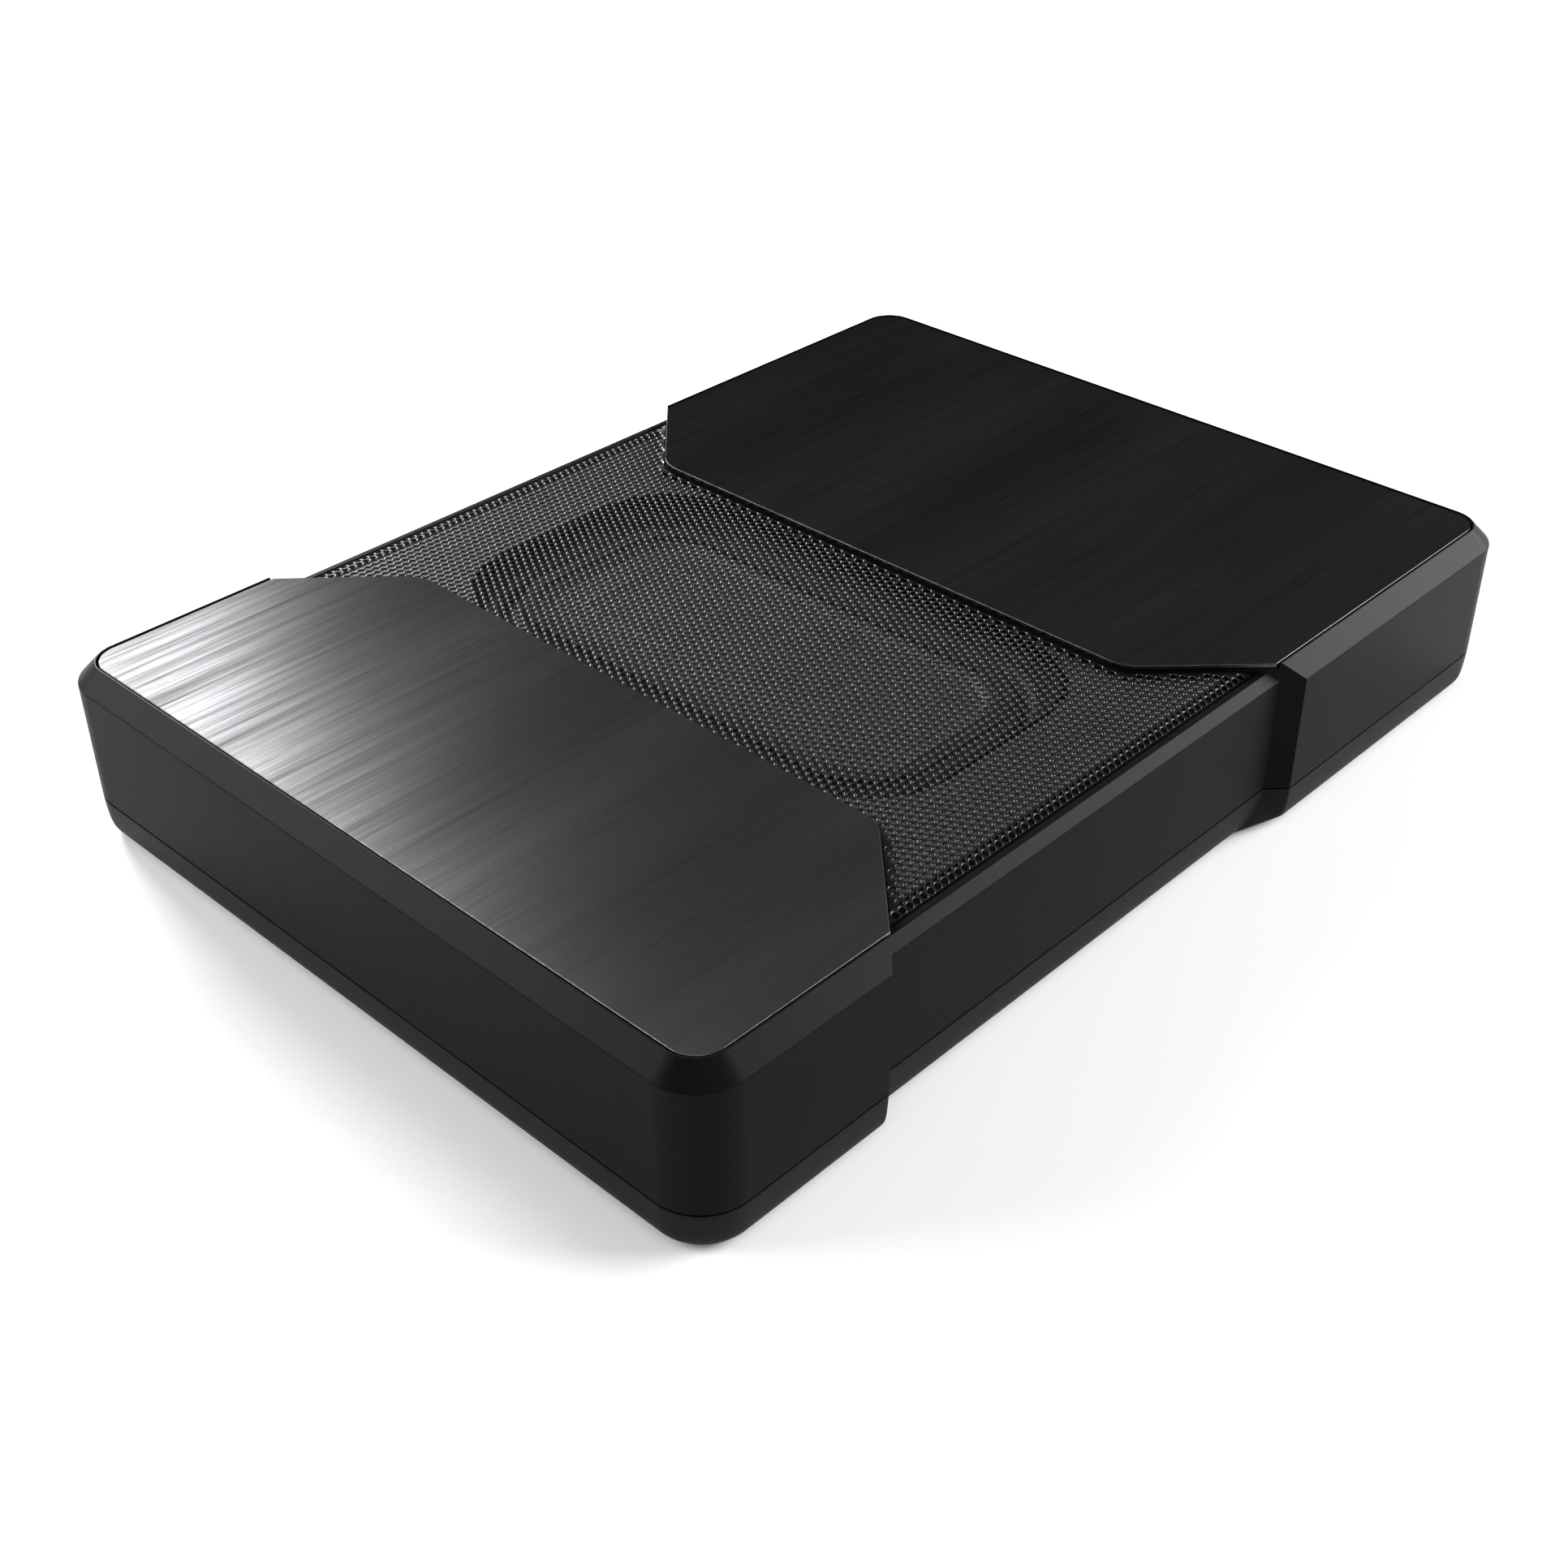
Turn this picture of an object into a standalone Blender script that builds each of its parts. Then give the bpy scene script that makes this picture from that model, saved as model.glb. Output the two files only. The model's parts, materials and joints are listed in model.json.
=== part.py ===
"""Powered under-seat car subwoofer: a low two-part housing with two top plates, a sunken mesh
panel over a flat racetrack driver, an amplifier and a recessed panel of sockets and controls.

X runs along the length, from the short plate's end to the connector end. Y runs across, with the
front at -Y. Z is up, and Z = 0 is the floor under the rubber feet.
"""

import math

import bmesh
import bpy
from mathutils import Matrix, Vector

MM = 0.001
GAP = 0.3 * MM

# Housing envelope
LENGTH = 340 * MM
WIDTH = 248 * MM
HEIGHT = 54 * MM
HALF_X = LENGTH / 2
HALF_Y = WIDTH / 2
CORNER_RADIUS = 14.5 * MM
CHAMFER = 5.3 * MM
WALL = 3.0 * MM

# Sunken middle section between the two raised blocks
NEAR_STEP_X = -109.3 * MM
FAR_STEP_X = 59.6 * MM
NEAR_EDGE_X = -73.0 * MM
FAR_EDGE_X = 24.3 * MM
TIP_RADIUS = 12 * MM
STEP_DEPTH = 5.2 * MM
MIDDLE_TOP = 50.8 * MM
MIDDLE_CHAMFER = 2.7 * MM
MESH_BAY_HALF_Y = 114.3 * MM
MESH_DECK = 49.7 * MM
DECK_UNDERSIDE = 47.5 * MM
BLOCK_UNDERSIDE = 50.2 * MM

# Top plates
PLATE_THICKNESS = 1.2 * MM
PLATE_TOP = 53.8 * MM
PLATE_GAP = 0.7 * MM

# Mesh panel
MESH_TOP = 51.7 * MM
MESH_THICKNESS = 0.8 * MM
MESH_FLAT_HALF_Y = 110.3 * MM
MESH_EDGE_HALF_Y = 113.5 * MM
MESH_EDGE_DROP = 0.9 * MM

# Base tray
TRAY_BOTTOM = 1.6 * MM
TRAY_FLOOR = 4.6 * MM
TRAY_TOP = 12.6 * MM
CASING_BOTTOM = 13.1 * MM
LIP_TOP = 17 * MM
LIP_THICKNESS = 2 * MM
FLARE = 12 * MM

# Housing screws and feet
HOUSING_SCREW_SPOTS = [(-152, -106), (-152, 106), (-24.5, -107), (-24.5, 107), (152, -106), (152, 106)]
BOSS_RADIUS = 4 * MM
SCREW_HOLE_RADIUS = 1.8 * MM
SCREW_RADIUS = 1.5 * MM
SCREW_HEAD_RADIUS = 3 * MM
FOOT_X = 138 * MM
FOOT_Y = 88 * MM
FOOT_RADIUS = 8 * MM
FOOT_HEIGHT = 2.1 * MM

# Driver, centred under the mesh
DRIVER_X = (NEAR_EDGE_X + FAR_EDGE_X) / 2
OPENING_SIZE = (92 * MM, 167 * MM)
OPENING_RADIUS = 26 * MM
FLANGE_TOP = 44.8 * MM
FLANGE_THICKNESS = 1.5 * MM
DIAPHRAGM_SIZE = (66 * MM, 143 * MM)
DIAPHRAGM_RADIUS = 20 * MM
DIAPHRAGM_TOP = 44.8 * MM
DIAPHRAGM_THICKNESS = 3 * MM
SURROUND_SKIN = 0.8 * MM
DRIVER_SCREW_SPOTS = [(-46, -84), (46, -84), (-46, 84), (46, 84)]
FORMER_RADIUS = 18.5 * MM
MAGNET_RADIUS = 37 * MM
TERMINAL_X = 23.2 * MM
TERMINAL_THICKNESS = 2.2 * MM
TERMINAL_Z = 33 * MM

# Connector bay in the +X end wall
PANEL_FACE_X = 160.2 * MM
PANEL_THICKNESS = 3 * MM
BAY_HALF_Y = 85 * MM
BAY_LOW = 18.5 * MM
BAY_HIGH = 41.5 * MM
BAY_WALL = 3.6 * MM
BAY_Z = (BAY_LOW + BAY_HIGH) / 2
POWER_SOCKET_Y = -64 * MM
FUSE_Y = -43 * MM
SPEAKER_SOCKET_Y = -23 * MM
RCA_Y = (-2 * MM, 12 * MM)
REMOTE_SOCKET_Y = 28 * MM
PHASE_SWITCH_Y = 42 * MM
GAIN_KNOB_Y = 57 * MM
CROSSOVER_KNOB_Y = 74 * MM
LED_Y = 49.5 * MM
LED_Z = 37.5 * MM

# Amplifier board in the larger block
BOARD_X = (66 * MM, 144 * MM)
BOARD_HALF_Y = 98 * MM
BOARD_BOTTOM = 9 * MM
BOARD_THICKNESS = 1.6 * MM
BOARD_TOP = BOARD_BOTTOM + BOARD_THICKNESS
BOARD_PEG_SPOTS = [(70, -94), (70, 94), (140, -94), (140, 94)]
PEG_RADIUS = 1.4 * MM

ARC_STEPS = 4
SMALL_RADIUS = 0.4 * MM


# ---------------------------------------------------------------- scene and collections

def clear_scene():
    for item in list(bpy.context.scene.objects):
        bpy.data.objects.remove(item, do_unlink=True)


def new_collection(name):
    collection = bpy.data.collections.new(name)
    bpy.context.scene.collection.children.link(collection)
    return collection


clear_scene()
PARTS = new_collection("powered_car_subwoofer")
CUTTERS = new_collection("cutters")


def material(name, colour, roughness, metallic=0.0):
    found = bpy.data.materials.get(name)
    if found:
        return found
    made = bpy.data.materials.new(name)
    made.use_nodes = True
    shader = made.node_tree.nodes["Principled BSDF"]
    shader.inputs["Base Color"].default_value = (*colour, 1)
    shader.inputs["Roughness"].default_value = roughness
    shader.inputs["Metallic"].default_value = metallic
    return made


def casing_plastic():
    return material("casing_plastic", (0.012, 0.012, 0.013), 0.45)


def tray_plastic():
    return material("tray_plastic", (0.018, 0.018, 0.019), 0.6)


def brushed_plate():
    return material("brushed_plate", (0.06, 0.06, 0.065), 0.3, 1.0)


def black_mesh():
    return material("black_mesh", (0.02, 0.02, 0.02), 0.4, 0.6)


def rubber():
    return material("rubber", (0.01, 0.01, 0.01), 0.8)


def stamped_steel():
    return material("stamped_steel", (0.05, 0.05, 0.055), 0.45, 0.8)


def cone_fibre():
    return material("cone_fibre", (0.03, 0.03, 0.032), 0.6)


def ferrite():
    return material("ferrite", (0.05, 0.05, 0.055), 0.7)


def zinc_steel():
    return material("zinc_steel", (0.55, 0.55, 0.52), 0.35, 1.0)


def copper_wire():
    return material("copper_wire", (0.55, 0.2, 0.07), 0.35, 1.0)


def spider_cloth():
    return material("spider_cloth", (0.45, 0.3, 0.08), 0.85)


def circuit_board():
    return material("circuit_board", (0.01, 0.12, 0.05), 0.45)


def bare_aluminium():
    return material("bare_aluminium", (0.7, 0.7, 0.72), 0.4, 1.0)


def component_plastic():
    return material("component_plastic", (0.02, 0.02, 0.02), 0.4)


def gold_contact():
    return material("gold_contact", (0.7, 0.45, 0.12), 0.25, 1.0)


def fuse_plastic():
    return material("fuse_plastic", (0.6, 0.25, 0.01), 0.25)


def led_lens():
    return material("led_lens", (0.1, 0.35, 0.6), 0.1)


def wire_sleeve_red():
    return material("wire_sleeve_red", (0.5, 0.02, 0.02), 0.5)


def wire_sleeve_black():
    return material("wire_sleeve_black", (0.02, 0.02, 0.02), 0.5)


# ---------------------------------------------------------------- outlines

def side_line(corners, index, inset):
    """A side's first point and direction, moved inwards; outlines run counter-clockwise."""
    first = Vector(corners[index][:2])
    second = Vector(corners[(index + 1) % len(corners)][:2])
    along = (second - first).normalized()
    return first + Vector((-along.y, along.x)) * inset, along


def crossing(line_a, line_b):
    (point_a, along_a), (point_b, along_b) = line_a, line_b
    turn = along_a.cross(along_b)
    return point_a + along_a * ((point_b - point_a).cross(along_b) / turn), turn


def inset_corners(corners, insets):
    """Corners (x, y, radius) with each side moved inwards, by one distance or one per side."""
    if not isinstance(insets, (list, tuple)):
        insets = [insets] * len(corners)
    moved = []
    for index, (_, _, radius) in enumerate(corners):
        before = side_line(corners, index - 1, insets[index - 1])
        after = side_line(corners, index, insets[index])
        point, turn = crossing(before, after)
        mean = (insets[index - 1] + insets[index]) / 2
        if radius:
            radius = max(radius - mean if turn > 0 else radius + mean, SMALL_RADIUS)
        moved.append((point.x, point.y, radius))
    return moved


def rounded(corners, steps=ARC_STEPS):
    """The outline's points, with each corner's radius turned as an arc."""
    points = []
    for index, (x, y, radius) in enumerate(corners):
        corner = Vector((x, y))
        if not radius:
            points.append(corner)
            continue
        back = (Vector(corners[index - 1][:2]) - corner).normalized()
        ahead = (Vector(corners[(index + 1) % len(corners)][:2]) - corner).normalized()
        half_angle = math.acos(max(-1, min(1, back.dot(ahead)))) / 2
        centre = corner + (back + ahead).normalized() * radius / math.sin(half_angle)
        start = corner + back * radius / math.tan(half_angle) - centre
        end = corner + ahead * radius / math.tan(half_angle) - centre
        sweep = start.angle_signed(end)
        for step in range(steps + 1):
            points.append(centre + Matrix.Rotation(-sweep * step / steps, 2) @ start)
    return points


def rectangle(half_x, half_y, radius=0.0, centre=(0, 0)):
    cx, cy = centre
    signs = [(-1, -1), (1, -1), (1, 1), (-1, 1)]
    return [(cx + sx * half_x, cy + sy * half_y, radius) for sx, sy in signs]


def casing_corners(flare=0.0):
    """The housing's outline in plan; flare draws the far steps out under the middle section."""
    edge = 0.8 * MM
    near_in = NEAR_STEP_X + STEP_DEPTH
    far_in = FAR_STEP_X - STEP_DEPTH - flare
    front = [
        (-HALF_X, -HALF_Y, CORNER_RADIUS),
        (NEAR_STEP_X, -HALF_Y, edge),
        (near_in, -HALF_Y + STEP_DEPTH, edge),
        (far_in, -HALF_Y + STEP_DEPTH, edge + flare / 2),
        (FAR_STEP_X, -HALF_Y, edge + flare / 2),
        (HALF_X, -HALF_Y, CORNER_RADIUS),
    ]
    back = [(x, -y, radius) for x, y, radius in reversed(front)]
    return front + back


def near_block_corners():
    tip_y = HALF_Y - (NEAR_EDGE_X - NEAR_STEP_X)
    return [
        (-HALF_X, -HALF_Y, CORNER_RADIUS),
        (NEAR_STEP_X, -HALF_Y, 0),
        (NEAR_EDGE_X, -tip_y, TIP_RADIUS),
        (NEAR_EDGE_X, tip_y, TIP_RADIUS),
        (NEAR_STEP_X, HALF_Y, 0),
        (-HALF_X, HALF_Y, CORNER_RADIUS),
    ]


def far_block_corners():
    tip_y = HALF_Y - (FAR_STEP_X - FAR_EDGE_X)
    return [
        (HALF_X, HALF_Y, CORNER_RADIUS),
        (FAR_STEP_X, HALF_Y, 0),
        (FAR_EDGE_X, tip_y, TIP_RADIUS),
        (FAR_EDGE_X, -tip_y, TIP_RADIUS),
        (FAR_STEP_X, -HALF_Y, 0),
        (HALF_X, -HALF_Y, CORNER_RADIUS),
    ]


def block_insets(outer, inner):
    """Insets of a raised block: side 0, 4 and 5 are outer walls, the rest face the mesh."""
    return [outer, inner, inner, inner, outer, outer]


def mesh_bay_corners(half_y):
    """The sunken area between the blocks, up to half_y from the middle."""
    near_tip = HALF_Y - (NEAR_EDGE_X - NEAR_STEP_X)
    far_tip = HALF_Y - (FAR_STEP_X - FAR_EDGE_X)
    near_x = NEAR_EDGE_X - (half_y - near_tip)
    far_x = FAR_EDGE_X + (half_y - far_tip)
    return [
        (near_x, -half_y, 0),
        (far_x, -half_y, 0),
        (FAR_EDGE_X, -far_tip, TIP_RADIUS),
        (FAR_EDGE_X, far_tip, TIP_RADIUS),
        (far_x, half_y, 0),
        (near_x, half_y, 0),
        (NEAR_EDGE_X, near_tip, TIP_RADIUS),
        (NEAR_EDGE_X, -near_tip, TIP_RADIUS),
    ]


# ---------------------------------------------------------------- solids

def finish(item, skin, cutter=False):
    """Puts an object in its collection, with its material."""
    for collection in list(item.users_collection):
        collection.objects.unlink(item)
    (CUTTERS if cutter else PARTS).objects.link(item)
    if cutter:
        item.hide_render = True
        item.display_type = "WIRE"
    elif skin:
        item.data.materials.clear()
        item.data.materials.append(skin)
    return item


def from_bmesh(name, shape, skin=None, cutter=False):
    bmesh.ops.recalc_face_normals(shape, faces=shape.faces)
    mesh = bpy.data.meshes.new(name)
    shape.to_mesh(mesh)
    shape.free()
    item = bpy.data.objects.new(name, mesh)
    bpy.context.scene.collection.objects.link(item)
    return finish(item, skin, cutter)


def mesh_of_curve(name, curve, weld=0.001 * MM):
    """A curve object's evaluated shape as a closed bmesh, with its caps welded on."""
    holder = bpy.data.objects.new(name + "_curve", curve)
    bpy.context.scene.collection.objects.link(holder)
    graph = bpy.context.evaluated_depsgraph_get()
    mesh = bpy.data.meshes.new_from_object(holder.evaluated_get(graph))
    shape = bmesh.new()
    shape.from_mesh(mesh)
    bmesh.ops.remove_doubles(shape, verts=shape.verts, dist=weld)
    bpy.data.objects.remove(holder, do_unlink=True)
    bpy.data.meshes.remove(mesh)
    return shape


def extruded(name, outlines, low, high):
    """A bmesh of flat outlines (an inner one is a hole) filled and extruded from low to high."""
    curve = bpy.data.curves.new(name, "CURVE")
    curve.dimensions = "2D"
    curve.fill_mode = "BOTH"
    curve.extrude = (high - low) / 2
    for points in outlines:
        spline = curve.splines.new("POLY")
        spline.points.add(len(points) - 1)
        for spot, point in zip(spline.points, points):
            spot.co = (point[0], point[1], 0, 1)
        spline.use_cyclic_u = True
    shape = mesh_of_curve(name, curve)
    bmesh.ops.translate(shape, verts=shape.verts, vec=(0, 0, (low + high) / 2))
    return shape


def prism(name, outlines, low, high, skin=None, cutter=False, top_bevel=0.0, turn=None):
    """A flat outline, or several, as a solid from low to high; turn stands it on another axis."""
    if not isinstance(outlines[0], (list, tuple)):
        outlines = [outlines]
    shape = extruded(name, outlines, low, high)
    if top_bevel:
        bevel_top(shape, high, top_bevel)
    if turn:
        bmesh.ops.transform(shape, matrix=turn, verts=shape.verts)
    return from_bmesh(name, shape, skin, cutter)


def bevel_top(shape, high, width):
    """Chamfers the edge round the top face."""
    flat_angle = 0.001
    bmesh.ops.dissolve_limit(shape, angle_limit=flat_angle, verts=shape.verts, edges=shape.edges)
    tolerance = 0.01 * MM
    rim = [
        edge
        for edge in shape.edges
        if all(abs(vert.co.z - high) < tolerance for vert in edge.verts)
        and any(abs(face.normal.z) < 0.5 for face in edge.link_faces)
    ]
    bmesh.ops.bevel(shape, geom=rim, offset=width, segments=1, affect="EDGES", profile=0.5)


def stacked(name, rings, skin=None, cutter=False):
    """A solid lofted upwards through outlines of equal point count, each with its height."""
    shape = bmesh.new()
    loops = [[shape.verts.new((p[0], p[1], z)) for p in points] for points, z in rings]
    for low, high in zip(loops, loops[1:]):
        for i in range(len(low)):
            shape.faces.new((low[i - 1], low[i], high[i], high[i - 1]))
    shape.faces.new(list(reversed(loops[0])))
    shape.faces.new(loops[-1])
    return from_bmesh(name, shape, skin, cutter)


def band(name, size, radius, profile, skin, centre=(DRIVER_X, 0)):
    """A closed ring round a rounded rectangle; profile points are (outset, height) in a loop."""
    shape = bmesh.new()
    loops = []
    for outset, height in profile:
        corners = rectangle(size[0] / 2 + outset, size[1] / 2 + outset, radius + outset, centre)
        loops.append([shape.verts.new((p[0], p[1], height)) for p in rounded(corners)])
    for index, loop in enumerate(loops):
        before = loops[index - 1]
        for i in range(len(loop)):
            shape.faces.new((before[i - 1], before[i], loop[i], loop[i - 1]))
    return from_bmesh(name, shape, skin)


def turned(name, profile, place, axis="Z", steps=20, skin=None, cutter=False):
    """A turned solid. The profile (radius, height) runs from the top down its outer side."""
    shape = bmesh.new()
    verts = [shape.verts.new((radius, 0, height)) for radius, height in profile]
    for first, second in zip(verts, verts[1:]):
        shape.edges.new((first, second))
    if profile[0][0] > 0:
        shape.edges.new((verts[-1], verts[0]))
    mesh = bpy.data.meshes.new(name)
    shape.to_mesh(mesh)
    shape.free()
    item = bpy.data.objects.new(name, mesh)
    item.location = place
    if axis == "X":
        item.rotation_euler = (0, math.pi / 2, 0)
    screw = item.modifiers.new("turn", "SCREW")
    screw.axis = "Z"
    screw.angle = math.tau
    screw.steps = steps
    screw.render_steps = steps
    screw.use_merge_vertices = True
    screw.merge_threshold = 0.01 * MM
    screw.use_smooth_shade = True
    bpy.context.scene.collection.objects.link(item)
    return finish(item, skin, cutter)


def rod(name, radius, low, high, place, axis="Z", steps=20, skin=None, cutter=False):
    profile = [(0, high), (radius, high), (radius, low), (0, low)]
    return turned(name, profile, place, axis, steps, skin, cutter)


def block(name, low, high, skin=None, cutter=False, edge=0.0):
    """A box between two corners, its edges broken by a small bevel."""
    shape = bmesh.new()
    bmesh.ops.create_cube(shape, size=1)
    size = [b - a for a, b in zip(low, high)]
    middle = [(a + b) / 2 for a, b in zip(low, high)]
    bmesh.ops.scale(shape, vec=size, verts=shape.verts)
    bmesh.ops.translate(shape, vec=middle, verts=shape.verts)
    if edge:
        bmesh.ops.bevel(shape, geom=shape.edges[:], offset=edge, segments=1, affect="EDGES")
    return from_bmesh(name, shape, skin, cutter)


def boolean(target, tool, operation="DIFFERENCE"):
    modifier = target.modifiers.new(tool.name, "BOOLEAN")
    modifier.object = tool
    modifier.operation = operation
    return target


def carve(target, *tools):
    for tool in tools:
        boolean(target, tool)
    return target


def weld_on(target, *tools):
    for tool in tools:
        boolean(target, tool, "UNION")
    return target


def pin_places(spots):
    return [(x * MM, y * MM) for x, y in spots]


# ---------------------------------------------------------------- housing

def raised_forms():
    """Cutter that keeps only the two raised blocks of the chamfered outer form."""
    reach = 20 * MM
    near = near_block_corners()
    far = far_block_corners()
    outer = block_insets(-reach, 0)
    square = [[(x, y, r if r == TIP_RADIUS else 0) for x, y, r in c] for c in (near, far)]
    outlines = [rounded(inset_corners(corners, outer)) for corners in square]
    return prism("raised_forms", outlines, 0, HEIGHT + reach, cutter=True)


def middle_form():
    """The lower middle section, with its own chamfer and the sunken mesh deck."""
    overlap = 6 * MM
    corners = [
        (NEAR_STEP_X - overlap, -HALF_Y + STEP_DEPTH, 0),
        (FAR_STEP_X + overlap, -HALF_Y + STEP_DEPTH, 0),
        (FAR_STEP_X + overlap, HALF_Y - STEP_DEPTH, 0),
        (NEAR_STEP_X - overlap, HALF_Y - STEP_DEPTH, 0),
    ]
    form = prism("middle_form", rounded(corners), CASING_BOTTOM, MIDDLE_TOP, cutter=True,
                 top_bevel=MIDDLE_CHAMFER)
    sink = block("mesh_sink", (-HALF_X, -MESH_BAY_HALF_Y, MESH_DECK),
                 (HALF_X, MESH_BAY_HALF_Y, HEIGHT), cutter=True)
    return carve(form, sink)


def plate_recess(name, corners):
    """The shallow seat of a top plate, open towards the mesh."""
    open_side = -10 * MM
    edge = inset_corners(corners, block_insets(CHAMFER + PLATE_GAP / 2, open_side))
    return prism(name, rounded(edge), PLATE_TOP - PLATE_THICKNESS - GAP, HEIGHT * 2, cutter=True)


def housing_bosses(casing):
    for number, (x, y) in enumerate(pin_places(HOUSING_SCREW_SPOTS), 1):
        in_block = abs(x) > 100 * MM
        top = BLOCK_UNDERSIDE + 1 * MM if in_block else MESH_DECK - 1 * MM
        weld_on(casing, rod(f"boss_{number}", BOSS_RADIUS, TRAY_FLOOR + GAP, top, (x, y, 0),
                            steps=12, cutter=True))
        carve(casing, rod(f"boss_hole_{number}", SCREW_HOLE_RADIUS, 0, 20 * MM, (x, y, 0),
                          steps=12, cutter=True))


def driver_bosses(casing):
    for number, (x, y) in enumerate(pin_places(DRIVER_SCREW_SPOTS), 1):
        place = (DRIVER_X + x, y, 0)
        weld_on(casing, rod(f"driver_boss_{number}", 3.4 * MM, FLANGE_TOP + GAP,
                            DECK_UNDERSIDE + 1 * MM, place, steps=12, cutter=True))
        carve(casing, rod(f"driver_boss_hole_{number}", SCREW_HOLE_RADIUS, 40 * MM,
                          MESH_DECK - 0.7 * MM, place, steps=12, cutter=True))


def connector_bay(casing):
    inner_x = PANEL_FACE_X + GAP
    duct = block("bay_duct", (inner_x, -BAY_HALF_Y - BAY_WALL, BAY_LOW - BAY_WALL),
                 (HALF_X - 1 * MM, BAY_HALF_Y + BAY_WALL, BAY_HIGH + BAY_WALL), cutter=True)
    mouth = block("bay_mouth", (inner_x - 1 * MM, -BAY_HALF_Y, BAY_LOW),
                  (HALF_X + 1 * MM, BAY_HALF_Y, BAY_HIGH), cutter=True)
    weld_on(casing, duct)
    carve(casing, mouth)


def upper_casing():
    corners = rectangle(HALF_X, HALF_Y, CORNER_RADIUS)
    casing = prism("upper_casing", rounded(corners), CASING_BOTTOM, HEIGHT, casing_plastic(),
                   top_bevel=CHAMFER)
    boolean(casing, raised_forms(), "INTERSECT")
    weld_on(casing, middle_form())
    inside = prism("casing_hollow", rounded(inset_corners(casing_corners(), WALL)), 0,
                   DECK_UNDERSIDE, cutter=True)
    top_wall = CHAMFER + 0.4 * MM
    domes = [rounded(inset_corners(c, top_wall)) for c in (near_block_corners(), far_block_corners())]
    block_hollow = prism("block_hollow", domes, DECK_UNDERSIDE - 5 * MM, BLOCK_UNDERSIDE, cutter=True)
    opening = prism("driver_opening",
                    rounded(rectangle(OPENING_SIZE[0] / 2, OPENING_SIZE[1] / 2, OPENING_RADIUS,
                                      (DRIVER_X, 0))), 40 * MM, HEIGHT + 5 * MM, cutter=True)
    carve(casing, inside, block_hollow, opening)
    carve(casing, plate_recess("near_recess", near_block_corners()),
          plate_recess("far_recess", far_block_corners()))
    housing_bosses(casing)
    driver_bosses(casing)
    connector_bay(casing)
    return casing


def base_tray():
    """Tray with a locating lip; its side draws in slightly and its far steps flare out."""
    levels = [(TRAY_BOTTOM, 2.4, 1.0), (2.6 * MM, 1.3, 0.8), (5 * MM, 0.6, 0.42),
              (8.5 * MM, 0.2, 0.1), (TRAY_TOP, 0.0, 0.0)]
    rings = []
    for height, inset, share in levels:
        rings.append((rounded(inset_corners(casing_corners(FLARE * share), inset * MM)), height))
    tray = stacked("base_tray", rings, tray_plastic())
    lip_out = inset_corners(casing_corners(), WALL + GAP)
    lip_in = inset_corners(casing_corners(), WALL + GAP + LIP_THICKNESS)
    weld_on(tray, prism("tray_lip", rounded(lip_out), 10 * MM, LIP_TOP, cutter=True))
    carve(tray, prism("tray_hollow", rounded(lip_in), TRAY_FLOOR, LIP_TOP * 2, cutter=True))
    notch_y = BAY_HALF_Y + BAY_WALL + GAP
    carve(tray, block("lip_notch", (PANEL_FACE_X - 10 * MM, -notch_y, BAY_LOW - BAY_WALL - GAP),
                      (HALF_X + 5 * MM, notch_y, LIP_TOP * 2), cutter=True))
    for number, (x, y) in enumerate(pin_places(HOUSING_SCREW_SPOTS), 1):
        profile = [(0, 6 * MM), (SCREW_HOLE_RADIUS, 6 * MM), (SCREW_HOLE_RADIUS, 3.4 * MM),
                   (3.3 * MM, 3.4 * MM), (3.3 * MM, 0), (0, 0)]
        carve(tray, turned(f"tray_screw_hole_{number}", profile, (x, y, 0), steps=12, cutter=True))
    for number, (x, y) in enumerate(foot_spots(), 1):
        carve(tray, rod(f"foot_seat_{number}", FOOT_RADIUS + GAP, 0, FOOT_HEIGHT + GAP, (x, y, 0),
                        steps=20, cutter=True))
    for number, (x, y) in enumerate(pin_places(BOARD_PEG_SPOTS), 1):
        seat, tip = BOARD_BOTTOM - GAP, BOARD_TOP + 1.2 * MM
        profile = [(0, tip), (PEG_RADIUS, tip), (PEG_RADIUS, seat), (3 * MM, seat),
                   (3 * MM, TRAY_FLOOR - 1 * MM), (0, TRAY_FLOOR - 1 * MM)]
        weld_on(tray, turned(f"board_peg_{number}", profile, (x, y, 0), steps=12, cutter=True))
    return tray


def foot_spots():
    return [(sx * FOOT_X, sy * FOOT_Y) for sx in (-1, 1) for sy in (-1, 1)]


def rubber_feet():
    for number, (x, y) in enumerate(foot_spots(), 1):
        edge = 0.4 * MM
        profile = [(0, FOOT_HEIGHT), (FOOT_RADIUS, FOOT_HEIGHT), (FOOT_RADIUS, edge),
                   (FOOT_RADIUS - edge, 0), (0, 0)]
        turned(f"rubber_foot_{number}", profile, (x, y, 0), steps=20, skin=rubber())


def top_plates():
    for name, corners in (("near_top_plate", near_block_corners()),
                          ("far_top_plate", far_block_corners())):
        edge = inset_corners(corners, block_insets(CHAMFER + PLATE_GAP + GAP, 0))
        prism(name, rounded(edge), PLATE_TOP - PLATE_THICKNESS, PLATE_TOP, brushed_plate(),
              top_bevel=0.3 * MM)


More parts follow.
